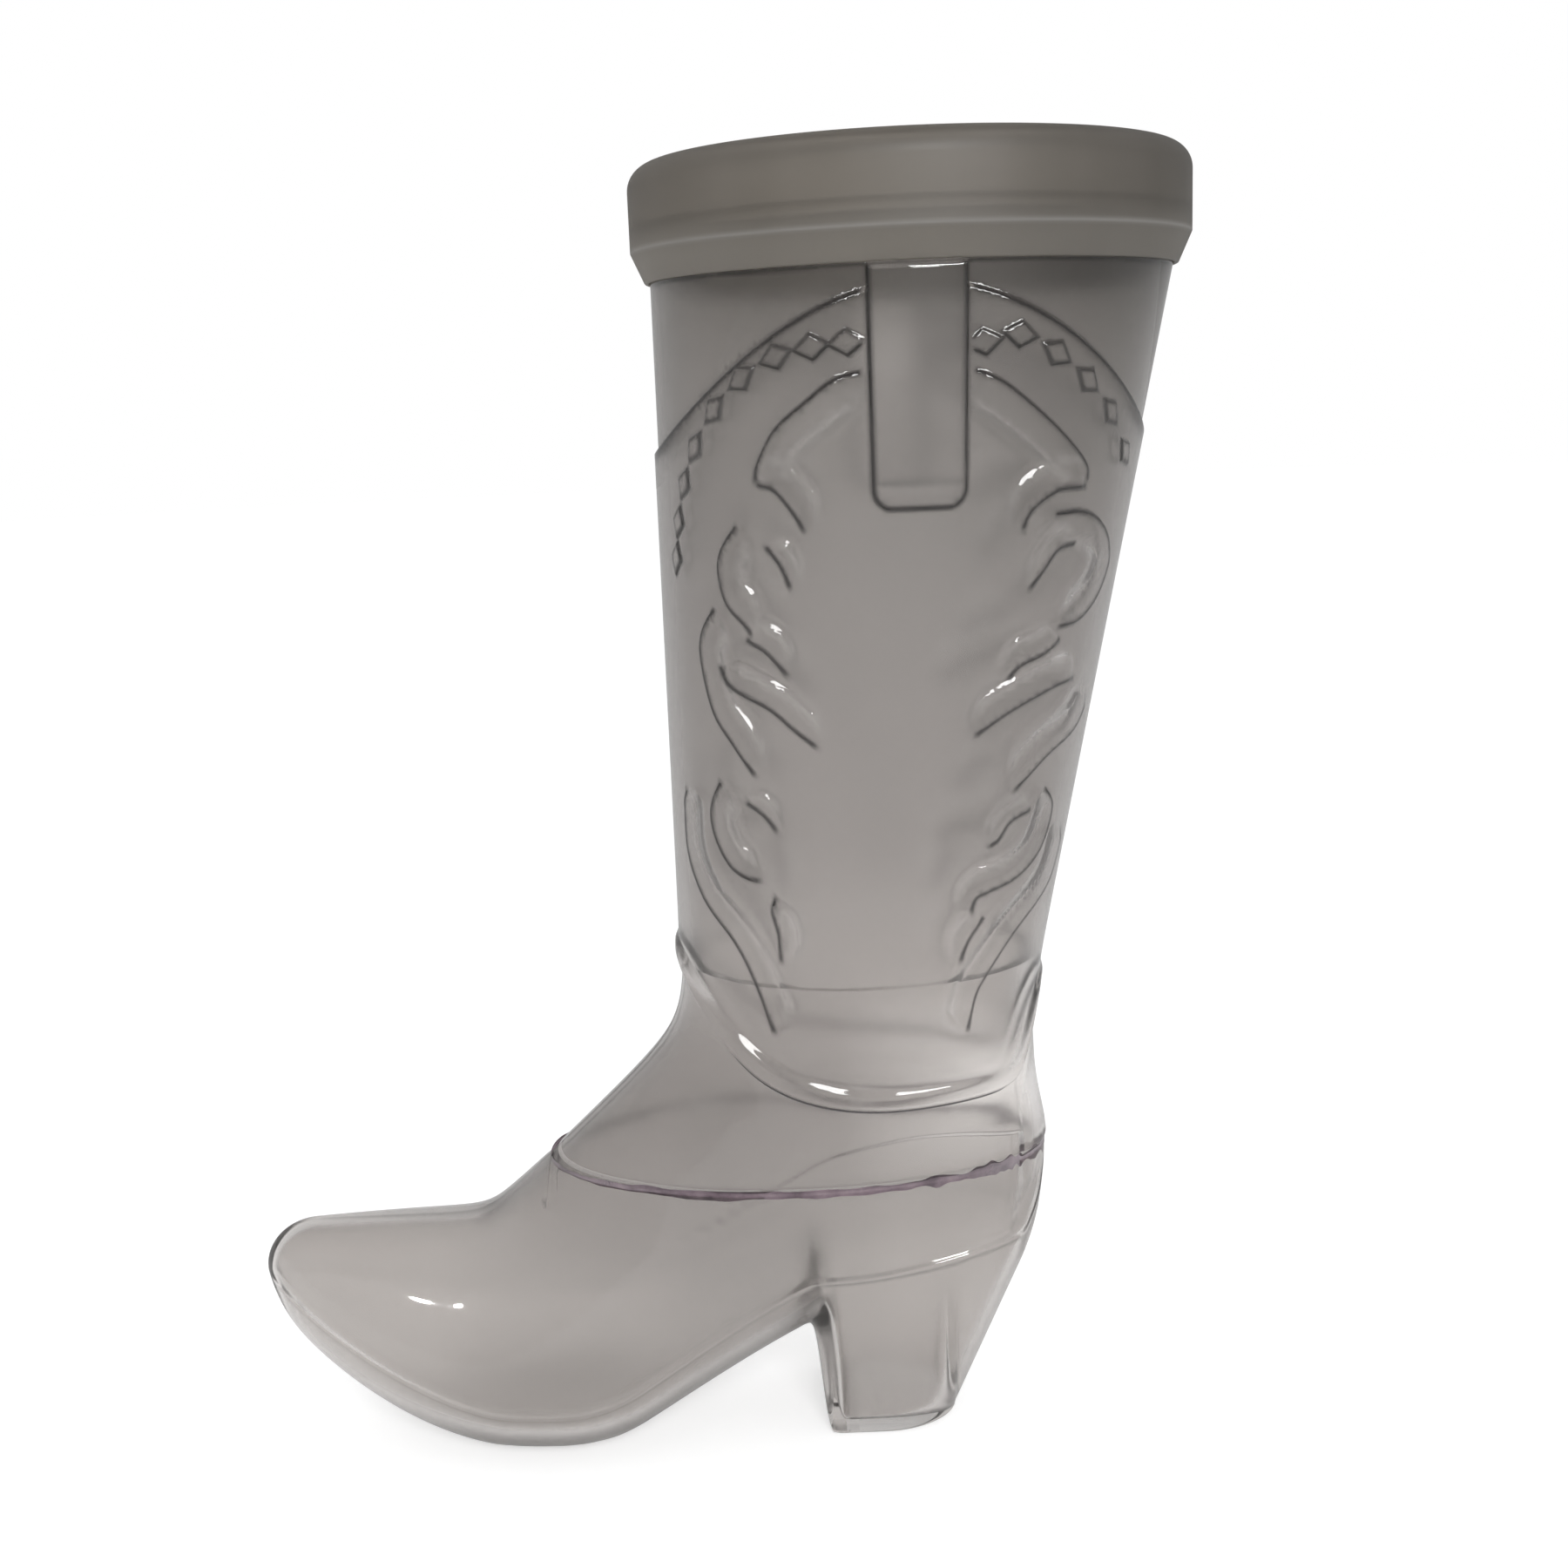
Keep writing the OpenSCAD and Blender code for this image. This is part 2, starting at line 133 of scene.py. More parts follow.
def halfW(z):
    return boot["ankleHalfW"] + sideLean * bend(z - boot["sideBendZ"], boot["sideR"])


def midX(z):
    return (frontX(z) + backX(z)) / 2


def halfL(z):
    return (backX(z) - frontX(z)) / 2


def lean(t, z):
    # columns lean so that the pull straps stand upright
    h = np.minimum(z, boot["grooveZ"])
    return t - np.arcsin((boot["strapX"] - midX(h)) / halfL(h)) * np.sin(t) * np.abs(np.sin(t))


def skin(t, z, inset):
    # t is 0 at the back, pi at the toe
    h = np.minimum(z, boot["grooveZ"])
    a = lean(t, z)
    x = midX(h) + (halfL(h) - inset) * np.cos(a)
    y = (halfW(h) - inset) * np.sin(a)
    return np.stack([x, y, z + 0 * x], axis=-1)


def hemZ(t):
    c = np.cos(t)
    toFront = blend(boot["hemSideZ"], boot["hemFrontZ"], np.maximum(-c, 0) ** 3)
    toBack = blend(boot["hemSideZ"], boot["hemBackZ"], np.maximum(c, 0) ** 9)
    return np.where(c < 0, toFront, toBack)


def spigotZ(t):
    # end of the foot's spigot inside the leg, higher over the hem's front
    return leg["spigotTopZ"] + bend(hemZ(t) + leg["spigotLap"] - leg["spigotTopZ"], leg["spigotR"])


# Mesh makers
def newMesh(name, points, faces, scale=mm):
    mesh = bpy.data.meshes.new(name)
    mesh.from_pydata((np.asarray(points, float) * scale).tolist(), [], faces)
    return mesh


def addPiece(mesh, values, material, nodes, sharp):
    # joined, outward, smooth-shaded piece with sharp edges only where the plastic has them
    piece = bpy.data.objects.new(mesh.name, mesh)
    scene.collection.objects.link(piece)
    for name, numbers in values.items():
        setValues(piece, name, numbers)
    work = bmesh.new()
    work.from_mesh(mesh)
    bmesh.ops.remove_doubles(work, verts=work.verts, dist=1e-7)
    bmesh.ops.dissolve_degenerate(work, edges=work.edges, dist=1e-8)
    bmesh.ops.recalc_face_normals(work, faces=work.faces)
    for face in work.faces:
        face.smooth = True
    for edge in work.edges:
        edge.smooth = len(edge.link_faces) == 2 and edge.calc_face_angle(0.0) < math.radians(sharp)
    work.to_mesh(mesh)
    work.free()
    mesh.materials.append(material)
    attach(piece, "root")
    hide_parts(*nodes)
    print(f"{piece.name}: {len(mesh.polygons)} faces")
    return piece


def ringFaces(rows, columns, closed=True):
    # quads of a grid that closes round its columns, and round its rows too for a closed shell
    faces = []
    for i in range(rows if closed else rows - 1):
        a = i * columns
        b = ((i + 1) % rows) * columns
        for j in range(columns):
            k = (j + 1) % columns
            faces.append((a + j, a + k, b + k, b + j))
    return faces


def setValues(piece, name, values, domain="POINT"):
    layer = piece.data.attributes.new(name, "FLOAT", domain)
    layer.data.foreach_set("value", np.asarray(values, np.float32))


def setJoined(piece, shares, columns):
    # how far the cement joins each strip of faces to the next piece, so that nothing glints there
    joined = np.zeros(len(piece.data.polygons))
    for i, share in shares.items():
        joined[i * columns:(i + 1) * columns] = share
    setValues(piece, "joined", joined, "FACE")


# Shader maths on sockets
class Wire:
    def __init__(self, tree, socket=None):
        self.tree = tree
        self.socket = socket

    def node(self, kind, settings=None, sockets=None, output=0):
        made = self.tree.nodes.new(kind)
        for name, value in (settings or {}).items():
            if name == "stops":
                while len(made.color_ramp.elements) < len(value):
                    made.color_ramp.elements.new(0.5)
                for stop, (place, colour) in zip(made.color_ramp.elements, value):
                    stop.position = place
                    stop.color = (*colour, 1.0)
            else:
                setattr(made, name, value)
        for name, value in (sockets or {}).items():
            if isinstance(value, Wire):
                self.tree.links.new(value.socket, made.inputs[name])
            else:
                made.inputs[name].default_value = value
        return Wire(self.tree, made.outputs[output] if made.outputs else None)

    def maths(self, operation, a, b):
        return self.node("ShaderNodeMath", {"operation": operation}, {0: a, 1: b})

    def __add__(self, other):
        return self.maths("ADD", self, other)

    def __radd__(self, other):
        return self.maths("ADD", other, self)

    def __sub__(self, other):
        return self.maths("SUBTRACT", self, other)

    def __rsub__(self, other):
        return self.maths("SUBTRACT", other, self)

    def __mul__(self, other):
        return self.maths("MULTIPLY", self, other)

    def __rmul__(self, other):
        return self.maths("MULTIPLY", other, self)

    def value(self, name):
        return self.node("ShaderNodeAttribute", {"attribute_name": name}, None, 2)

    def mix(self, factor, a, b, kind="MIX"):
        settings = {"data_type": "RGBA", "blend_type": kind}
        return self.node("ShaderNodeMix", settings, {0: factor, 6: a, 7: b}, 2)

    def toned(self, factor, colour, kind="MIX"):
        return self.mix(factor, self, (*colour, 1.0), kind)

    def ramp(self, start, end):
        # 0 before start, 1 past end
        return self.node("ShaderNodeMapRange", None, {"Value": self, "From Min": start, "From Max": end})


def newMaterial(name):
    material = bpy.data.materials.new(name)
    material.use_nodes = True
    material.node_tree.nodes.clear()
    return material, Wire(material.node_tree)


# Clear plastic: grey tint with painted shade by height, painted shade lines in the steps of the relief, satin
# inside
plastic = {
    "ior": 1.49,
    "gloss": 0.04,  # roughness of the outside
    "satin": 0.25,  # roughness of the inside
    "line": (0.012, 0.011, 0.011),  # painted shade in the steps of the relief
    # grey tint of the plastic with painted shade, darker towards the top
    "tintsAndShade": [
        (0.00, (0.725, 0.703, 0.685)),
        (0.06, (0.735, 0.713, 0.695)),
        (0.12, (0.690, 0.669, 0.652)),
        (0.20, (0.570, 0.549, 0.533)),
        (0.30, (0.575, 0.553, 0.538)),
        (0.37, (0.630, 0.608, 0.591)),
        (0.44, (0.520, 0.502, 0.488)),
        (0.70, (0.475, 0.458, 0.445)),
        (0.80, (0.466, 0.449, 0.434)),
        (0.88, (0.375, 0.360, 0.342)),
    ],
    "height": 0.2,  # metres that the places of the tints and shade are shares of
    # places are lengths or heights, from where a tone starts to where it is full
    "mouthShade": (0.62, 0.62, 0.61),  # painted shade, darker towards the back of the mouth
    "mouthShadeX": (-0.005, 0.045),
    "mouthShadeZ": (0.132, 0.185),
    "waistShade": (0.89, 0.89, 0.89),  # painted shade, the waist of the foot is greyer
    "waist": -0.036,
    "waistRun": 0.036,
    "overTread": (0.008, 0.017),
    "underHem": (0.085, 0.062),
    "heelShade": (0.90, 0.895, 0.895),  # painted shade, greyer low in the heel and the arch
    "heelX": (-0.042, -0.024),
    "heelZ": (0.019, 0.005),
    "pale": (0.95, 0.935, 0.92),  # painted light, paler at the back of the ankle
    "ankleLightX": (-0.008, 0.015),
    "ankleLightZ": (0.043, 0.053),
    "ankleLightTop": (0.066, 0.057),
    "cloud": 42.0,  # soft mottling, waves a metre
    "reflectionStreak": (110.0, 110.0, 9.0),  # painted reflections in upright streaks
    # amount of the soft mottling and of the painted reflection streaks
    "mottleAndReflection": 0.10,
    "mottleAndReflectionTint": (0.80, 0.75, 0.74),
    "clearAndHighlightTint": (0.97, 0.965, 0.96),  # tint where the wall is clearest, and of the painted highlights
    "bump": {"Strength": 0.04, "Distance": 0.0004},
    "cloudRough": 0.02,
    "absorb": (0.10, 0.04, 0.0),
    "density": 12.0,
    # smoky grey tint of the rim with painted shade by height, palest at the shoulder
    "rimTintsAndShade": [
        (0.905, (0.44, 0.41, 0.36)),
        (0.925, (0.225, 0.200, 0.160)),
        (0.955, (0.170, 0.150, 0.119)),
        (0.975, (0.215, 0.195, 0.164)),
    ],
    "rimGloss": 0.5,
    "rimThrough": 0.78,
}


def clearPlastic(name, tintsAndShade, gloss, through):
    material, wire = newMaterial(name)
    place = wire.node("ShaderNodeTexCoord", None, None, 3)
    length = wire.node("ShaderNodeSeparateXYZ", None, {0: place}, 0)
    height = wire.node("ShaderNodeSeparateXYZ", None, {0: place}, 2)
    tint = wire.node("ShaderNodeValToRGB", {"stops": tintsAndShade}, {"Fac": height * (1 / plastic["height"])})
    mouth = length.ramp(*plastic["mouthShadeX"]) * height.ramp(*plastic["mouthShadeZ"])
    fromWaist = (length - plastic["waist"]) * (1 / plastic["waistRun"])
    waist = wire.maths("MAXIMUM", 1 - fromWaist * fromWaist, 0.0)
    waist = waist * height.ramp(*plastic["overTread"]) * height.ramp(*plastic["underHem"])
    heel = length.ramp(*plastic["heelX"]) * height.ramp(*plastic["heelZ"])
    ankle = length.ramp(*plastic["ankleLightX"]) * height.ramp(*plastic["ankleLightZ"])
    ankle = ankle * height.ramp(*plastic["ankleLightTop"])
    # painted shade towards the back of the mouth, at the waist and low in the heel, painted light at the back
    # of the ankle
    tint = tint.toned(mouth, plastic["mouthShade"], "MULTIPLY").toned(waist, plastic["waistShade"], "MULTIPLY")
    tint = tint.toned(heel, plastic["heelShade"], "MULTIPLY").toned(ankle, plastic["pale"])
    cloud = wire.node("ShaderNodeTexNoise", None, {"Vector": place, "Scale": plastic["cloud"], "Detail": 1.0})
    flow = wire.node("ShaderNodeVectorMath", {"operation": "MULTIPLY"}, {0: place, 1: plastic["reflectionStreak"]})
    reflectionStreak = wire.node("ShaderNodeTexNoise", None, {"Vector": flow, "Scale": 1.0, "Detail": 1.0})
    # soft mottling, and painted reflections in upright streaks
    tint = tint.toned((cloud + reflectionStreak) * plastic["mottleAndReflection"], plastic["mottleAndReflectionTint"])
    # lighter where the wall is clearest and along painted highlights, painted shade in the steps of the relief
    tint = tint.toned(wire.value("clearness"), plastic["clearAndHighlightTint"]).toned(wire.value("step"), plastic["line"])
    rough = gloss + wire.value("inside") * (plastic["satin"] - gloss) + cloud * plastic["cloudRough"]
    skinSockets = {
        "Base Color": tint,
        "Roughness": rough,
        "IOR": plastic["ior"],
        "Transmission Weight": through,
        "Alpha": 1 - wire.value("joined"),
        "Normal": wire.node("ShaderNodeBump", None, {**plastic["bump"], "Height": cloud}),
    }
    depthSockets = {"Color": (*plastic["absorb"], 1.0), "Density": plastic["density"]}
    body = wire.node("ShaderNodeBsdfPrincipled", None, skinSockets)
    depth = wire.node("ShaderNodeVolumeAbsorption", None, depthSockets)
    wire.node("ShaderNodeOutputMaterial", None, {"Surface": body, "Volume": depth})
    return material


clearMaterial = clearPlastic("clear_plastic_skin", plastic["tintsAndShade"], plastic["gloss"], 1.0)
rimMaterial = clearPlastic("rim_plastic_skin", plastic["rimTintsAndShade"], plastic["rimGloss"], plastic["rimThrough"])

# Cured cement in the seams: hazy mauve grey, uneven along the bead
cement = {
    "dark": (0.10, 0.06, 0.085),
    "pale": (0.29, 0.21, 0.25),
    "shade": (0.10, 0.095, 0.10),  # painted shade in the corner under the hem
    "ior": 1.47,
    "through": 0.5,
    "roughness": 0.5,
    "clotRough": 0.2,
    "clots": {"Scale": 260.0, "Detail": 4.0, "Roughness": 0.6},
    "clotRange": (0.35, 0.66),
    "bump": {"Strength": 0.4, "Distance": 0.0003},
}


def cementMaterial(name):
    material, wire = newMaterial(name)
    place = wire.node("ShaderNodeTexCoord", None, None, 3)
    clots = wire.node("ShaderNodeTexNoise", None, {"Vector": place, **cement["clots"]})
    stops = list(zip(cement["clotRange"], (cement["dark"], cement["pale"])))
    colour = wire.node("ShaderNodeValToRGB", {"stops": stops}, {"Fac": clots})
    skinSockets = {
        "Base Color": colour.toned(wire.value("shade"), cement["shade"]),
        "Roughness": cement["roughness"] + clots * cement["clotRough"],
        "IOR": cement["ior"],
        "Transmission Weight": cement["through"],
        "Alpha": 1 - wire.value("joined"),
        "Normal": wire.node("ShaderNodeBump", None, {**cement["bump"], "Height": clots}),
    }
    body = wire.node("ShaderNodeBsdfPrincipled", None, skinSockets)
    wire.node("ShaderNodeOutputMaterial", None, {"Surface": body})
    return material


cementSkin = cementMaterial("adhesive_skin")
print("materials made")

# Rim band, turned about the mouth's axis: rounded lip, upright wall, sloped shoulder, slot for the leg
band = {
    "wall": 2.5,
    "h": 16.3,
    "lipR": 3.6,
    "shoulderH": 4.3,
    "shoulderEdge": 0.6,
    "slotFit": 0.15,
    "flange": 1.5,
    "edgeR": 0.25,
    "crease": 0.45,  # painted highlight along the crease over the shoulder
    "creaseW": 0.3,
    "turns": 288,
}


def arc(r, z, radius, start, end, steps):
    a = np.radians(np.linspace(start, end, steps + 1))
    return [(r + radius * math.cos(v), z + radius * math.sin(v)) for v in a]


def roundCorners(points, radius, steps=4):
    # every sharp corner of a closed outline gets a small arc-like curve
    out = []
    count = len(points)
    for i in range(count):
        p = np.array(points[i])
        before = np.array(points[i - 1]) - p
        after = np.array(points[(i + 1) % count]) - p
        lengthA = np.linalg.norm(before)
        lengthB = np.linalg.norm(after)
        turn = math.acos(np.clip(np.dot(before, after) / (lengthA * lengthB), -1, 1))
        if turn > math.radians(155):
            out.append(tuple(p))
            continue
        cut = min(radius, 0.45 * lengthA, 0.45 * lengthB)
        a = p + before / lengthA * cut
        b = p + after / lengthB * cut
        for s in np.linspace(0, 1, steps + 1):
            out.append(tuple((1 - s) ** 2 * a + 2 * s * (1 - s) * p + s * s * b))
    return out


def makeRimBand():
    low = boot["grooveZ"]
    top = low + band["h"]
    slotOut = boot["legTopR"] + band["slotFit"]
    slotIn = boot["legTopR"] - boot["legWall"] - band["slotFit"]
    slotTop = boot["legTopZ"] + boot["bond"]
    outer = slotOut + band["wall"]
    lipR = outer - band["lipR"]
    lipZ = top - band["lipR"]
    nose = band["wall"] / 2
    inner = slotIn - band["flange"]
    ledge = slotTop + band["flange"]
    foot = np.array([slotOut + band["shoulderEdge"], low])
    crest = np.array([outer, low + band["shoulderH"]])
    outline = [(slotOut, low)]
    outline += [tuple(blend(foot, crest, f)) for f in (0, 0.25, 0.5, 0.75, 0.86, 0.93, 1)]
    outline += [(outer, crest[1] + up) for up in (0.3, 0.6, 1.2, 3.0)]
    outline += arc(lipR, lipZ, band["lipR"], 0, 90, 16)
    outline += arc(lipR, top - nose, nose, 90, 270, 16)[1:]
    outline += arc(lipR, lipZ, band["lipR"] - band["wall"], 90, 0, 12)[1:]
    outline += [(outer - band["wall"], ledge), (inner, ledge), (inner, low)]
    outline += [(slotIn, low), (slotIn, slotTop), (slotOut, slotTop)]
    outline = np.array(roundCorners(outline, band["edgeR"]))
    r, turn = np.meshgrid(outline[:, 0], turns(band["turns"]), indexing="ij")
    z = np.repeat(outline[:, 1][:, None], band["turns"], axis=1)
    points = np.stack([rimX + r * np.cos(turn), r * np.sin(turn), z], axis=-1).reshape(-1, 3)
    mesh = newMesh("rimBand", points, ringFaces(len(outline), band["turns"]))
    fromCrease = np.hypot(outline[:, 0] - crest[0], outline[:, 1] - crest[1])
    # painted highlight along the crease
    clear = np.repeat(band["crease"] * bell(fromCrease, band["creaseW"]), band["turns"])
    addPiece(mesh, {"clearness": clear}, rimMaterial, ["rim_band"], 50)


makeRimBand()

# Leg shell: raised scalloped panel, pull straps, diamonds and scroll ribbons, alike on both sides
leg = {
    "panelRise": 0.6,
    "archSideZ": 175.5,
    "archEndZ": 154.0,
    "archPower": 1.9,
    "archSquare": 0.85,  # share of a height under the arch that lies square to it
    "strapHalfTop": 6.4,
    "strapHalfLow": 6.1,
    "strapLowZ": 146.5,
    "strapRise": 1.2,
    "strapCornerR": 2.6,
    "strapFold": 3.4,  # fold line above the strap's end
    "foldW": 0.35,
    # painted shade in the fold
    "foldShade": 0.35,
    "foldDepth": 0.12,
    "ribbonRise": 0.5,
    "ribbonW": 4.4,
    "stepRun": 0.34,  # run of the crisp outer edge
    "softRun": 2.0,  # run of the soft inner edge
    "ribRise": 0.2,  # fine rib along the soft edge
    "ribW": 0.7,
    "light": 0.45,  # painted highlight along the rib
    "lightW": 0.8,
    "hemRibW": 3.0,
    "hemRibRun": 1.0,  # half the run of its upper flank
    "hemRibRise": 0.6,
    "hemEdgeR": 0.9,  # rounding of the hem's lower edge
    "hemLineShade": (0.85, 0.3),  # painted shade line over the hem, on the near side and the far one
    # painted shadow in the groove under the rim band
    "grooveShadowTone": 0.8,
    "grooveUnder": 0.3,  # the painted shadow lies this far under the groove
    "grooveW": 0.35,
    "diamondRise": 0.28,
    "diamondLong": 2.7,
    "diamondWide": 1.75,
    "diamondEdge": (-0.22, 0.12),
    # painted shade along the diamonds' edges
    "diamondShade": 0.95,
    "diamondLine": 0.85,
    # painted shade lines at the steps
    "lineW": 0.45,
    "lineIn": 0.08,
    "sideIn": 0.3,  # lines lie further in and get wider where the leg turns away
    "sideW": 0.5,
    "sideS": 38.0,  # from the strap's middle to there
    "columns": 260,
    "rows": 141,
    "hemRows": [0, 0.0006, 0.0018, 0.0036, 0.0058],
    "firstRow": 0.0085,
    "innerRows": 14,  # over and under the spigot's end
    "refine": (1.3, 0.58),  # reach of each round of finer mesh about the steps
    "spigotTopZ": 77.0,  # end of the foot's spigot inside the leg
    "spigotLap": 2.2,  # least overlap over the hem
    "spigotR": 0.5,
}

# Crisp edges of the ribbons: width factor, then places as (millimetres from the strap's middle, height).
# Minus is towards the toe, and every line runs away from the strap or downwards.
scrolls = [
    (1.0, [(-7, 164.5), (-11, 163.6), (-15, 160.9), (-19.6, 157.4), (-22.5, 152.9),
           (-23.1, 150.4), (-22.8, 149.6)]),
    (0.9, [(-23.2, 150.2), (-22.0, 149.9), (-19.9, 149.2), (-17.2, 146.2), (-15.4, 143.0)]),
    (1.0, [(-26.2, 145.0), (-29.3, 141.2), (-29.9, 138.0), (-28.6, 133.8),
           (-25.4, 130.8), (-24.5, 129.4), (-25.0, 128.6)]),
    (0.8, [(-25.7, 129.0), (-24.6, 128.4), (-21.8, 127.0), (-18.3, 123.3)]),
    (0.6, [(-22.0, 142.0), (-19.4, 139.2), (-17.8, 135.2)]),
    (1.0, [(-30.9, 133.5), (-33.9, 129.2), (-34.1, 125.2), (-31.7, 118.0), (-28.0, 113.5), (-24.0, 108.6)]),
    (0.8, [(-30.1, 125.4), (-28.2, 122.0), (-21.9, 119.2), (-18.3, 116.5), (-14.2, 113.3)]),
    (0.9, [(-30.7, 108.4), (-32.9, 103.8), (-32.2, 99.5), (-29.4, 95.4), (-26.3, 93.8), (-23.2, 93.5)]),
    (0.6, [(-26.6, 105.4), (-23.2, 103.5), (-20.8, 100.5)]),
    (0.7, [(-21.6, 92.0), (-22.4, 89.3), (-21.5, 85.5), (-21.4, 80.6)]),
    (0.9, [(-39.9, 106.2), (-39.5, 96.8), (-35.5, 89.8), (-29.1, 83.8), (-25.6, 77.8), (-22.6, 69.4)]),
    (1.0, [(7, 164.4), (11, 162.7), (14.9, 160.0), (21.3, 155.0), (25.4, 151.2),
           (26.1, 149.2), (25.6, 147.9)]),
    (0.9, [(26.2, 148.3), (24.8, 147.9), (20.2, 147.8), (15.8, 145.3), (14.4, 142.0)]),
    (1.0, [(19.4, 144.7), (24, 145.0), (28.5, 143.8), (32.3, 140.8), (33.6, 136.8),
           (30.8, 132.3), (26.1, 129.3), (22.0, 128.7), (20.9, 127.9)]),
    (0.8, [(22.4, 127.4), (21.6, 126.6), (18.8, 125.2), (14.5, 123.9), (12.0, 121.4)]),
    (0.6, [(24.3, 140.2), (20.8, 139.7), (18.2, 137.0), (15.2, 133.9)]),
    (0.9, [(26.6, 120.6), (21.0, 120.0), (13.0, 117.5), (6.8, 114.1)]),
    (1.0, [(31.9, 117.4), (27.8, 113.0), (19.9, 109.6), (13.6, 105.0)]),
    (0.9, [(20.5, 105.4), (22.8, 101.8), (20.6, 95.9), (15.8, 92.3), (9.8, 90.7),
           (7.9, 90.0), (7.3, 88.3), (7.4, 87.0)]),
    (0.6, [(18.2, 102.2), (13.8, 101.0), (11.4, 98.3), (9.0, 97.6)]),
    (0.7, [(9.6, 87.2), (6.6, 83.5), (5.2, 79.6)]),
    (0.9, [(27.5, 98.0), (26.2, 93.0), (23.3, 88.8), (15.4, 83.4), (9.6, 77.2), (7.7, 73.8), (6.6, 68.2)]),
]
# Middles of the diamonds, placed in the same way
diamonds = [
    (-9.2, 168.2), (-14.0, 167.8), (-19.2, 166.8), (-24.8, 164.2), (-30.0, 160.2), (-34.4, 155.2),
    (-37.4, 150.2), (-39.4, 144.8), (-40.4, 139.6),
    (8.6, 167.6), (13.6, 168.4), (19.2, 165.9), (24.8, 162.3), (30.3, 157.9), (35.6, 152.3),
]

tableT = np.linspace(math.pi, 2 * math.pi, 361)
tableZ = np.linspace(50.0, boot["legTopZ"], 135)


def makeAcrossTable():
    # millimetres round the skin from the strap's middle, for the near half of the leg
    t, z = np.meshgrid(tableT, tableZ)
    p = skin(t, z, -leg["panelRise"])
    hop = np.hypot(np.diff(p[..., 0], axis=1), np.diff(p[..., 1], axis=1))
    along = np.concatenate([np.zeros((len(tableZ), 1)), np.cumsum(hop, axis=1)], axis=1)
    return along - along[:, [len(tableT) // 2]]


acrossTable = makeAcrossTable()


def acrossLeg(t, z):
    near = np.where(t < math.pi, 2 * math.pi - t, t)  # the far side mirrors the near one
    i = np.clip((near - math.pi) / math.pi * (len(tableT) - 1), 0, len(tableT) - 1.001)
    j = np.clip((z - tableZ[0]) / (tableZ[-1] - tableZ[0]) * (len(tableZ) - 1), 0, len(tableZ) - 1.001)
    i0 = i.astype(int)
    j0 = j.astype(int)
    u = i - i0
    v = j - j0
    low = blend(acrossTable[j0, i0], acrossTable[j0, i0 + 1], u)
    high = blend(acrossTable[j0 + 1, i0], acrossTable[j0 + 1, i0 + 1], u)
    return blend(low, high, v)


def softLine(points, step=0.5):
    # smooth curve through a few points
    p = np.array([points[0], *points, points[-1]], float)
    out = []
    for i in range(1, len(p) - 2):
        count = max(2, int(np.linalg.norm(p[i + 1] - p[i]) / step))
        u = np.linspace(0, 1, count, endpoint=False)[:, None]
        a = 2 * p[i]
        b = p[i + 1] - p[i - 1]
        c = 2 * p[i - 1] - 5 * p[i] + 4 * p[i + 1] - p[i + 2]
        d = 3 * p[i] - p[i - 1] - 3 * p[i + 1] + p[i + 2]
        out.append(0.5 * (a + b * u + c * u**2 + d * u**3))
    return np.concatenate(out + [p[[-1]]])


def nearLine(x, y, line):
    # signed distance (plus on the left), place along the line, and the line's length
    a = line[:-1]
    ab = np.diff(line, axis=0)
    size = np.hypot(ab[:, 0], ab[:, 1])
    start = np.concatenate([[0], np.cumsum(size)])
    px = x[:, None] - a[:, 0]
    py = y[:, None] - a[:, 1]
    u = np.clip((px * ab[:, 0] + py * ab[:, 1]) / size**2, 0, 1)
    gap = np.hypot(px - u * ab[:, 0], py - u * ab[:, 1])
    k = np.argmin(gap, axis=1)
    row = np.arange(len(x))
    side = np.sign(ab[k, 0] * py[row, k] - ab[k, 1] * px[row, k])
    return gap[row, k] * side, start[k] + u[row, k] * size[k], start[-1]


scrollLines = [(wide, softLine(points)) for wide, points in scrolls]


def shadeLine(d, wide=1.0, side=0.0):
    # painted shade line at a step, wider and further in where the leg turns away; d is plus on the raised side
    d = d - leg["lineIn"] - leg["sideIn"] * side
    return bell(d, wide * leg["lineW"] * (1 + leg["sideW"] * side), 4)


def stepUp(d):
    return rise(-leg["stepRun"] / 2, leg["stepRun"] / 2, d)


def hemTilt(t):
    # share of a height over the hem that lies square to the hem's run
    step = 0.01
    hop = skin(t + step, hemZ(t), 0) - skin(t - step, hemZ(t), 0)
    return 1 / np.hypot(1, (hemZ(t + step) - hemZ(t - step)) / np.hypot(hop[:, 0], hop[:, 1]))


def panelTopZ(t):
    return blend(leg["archSideZ"], leg["archEndZ"], np.abs(np.cos(t)) ** leg["archPower"])


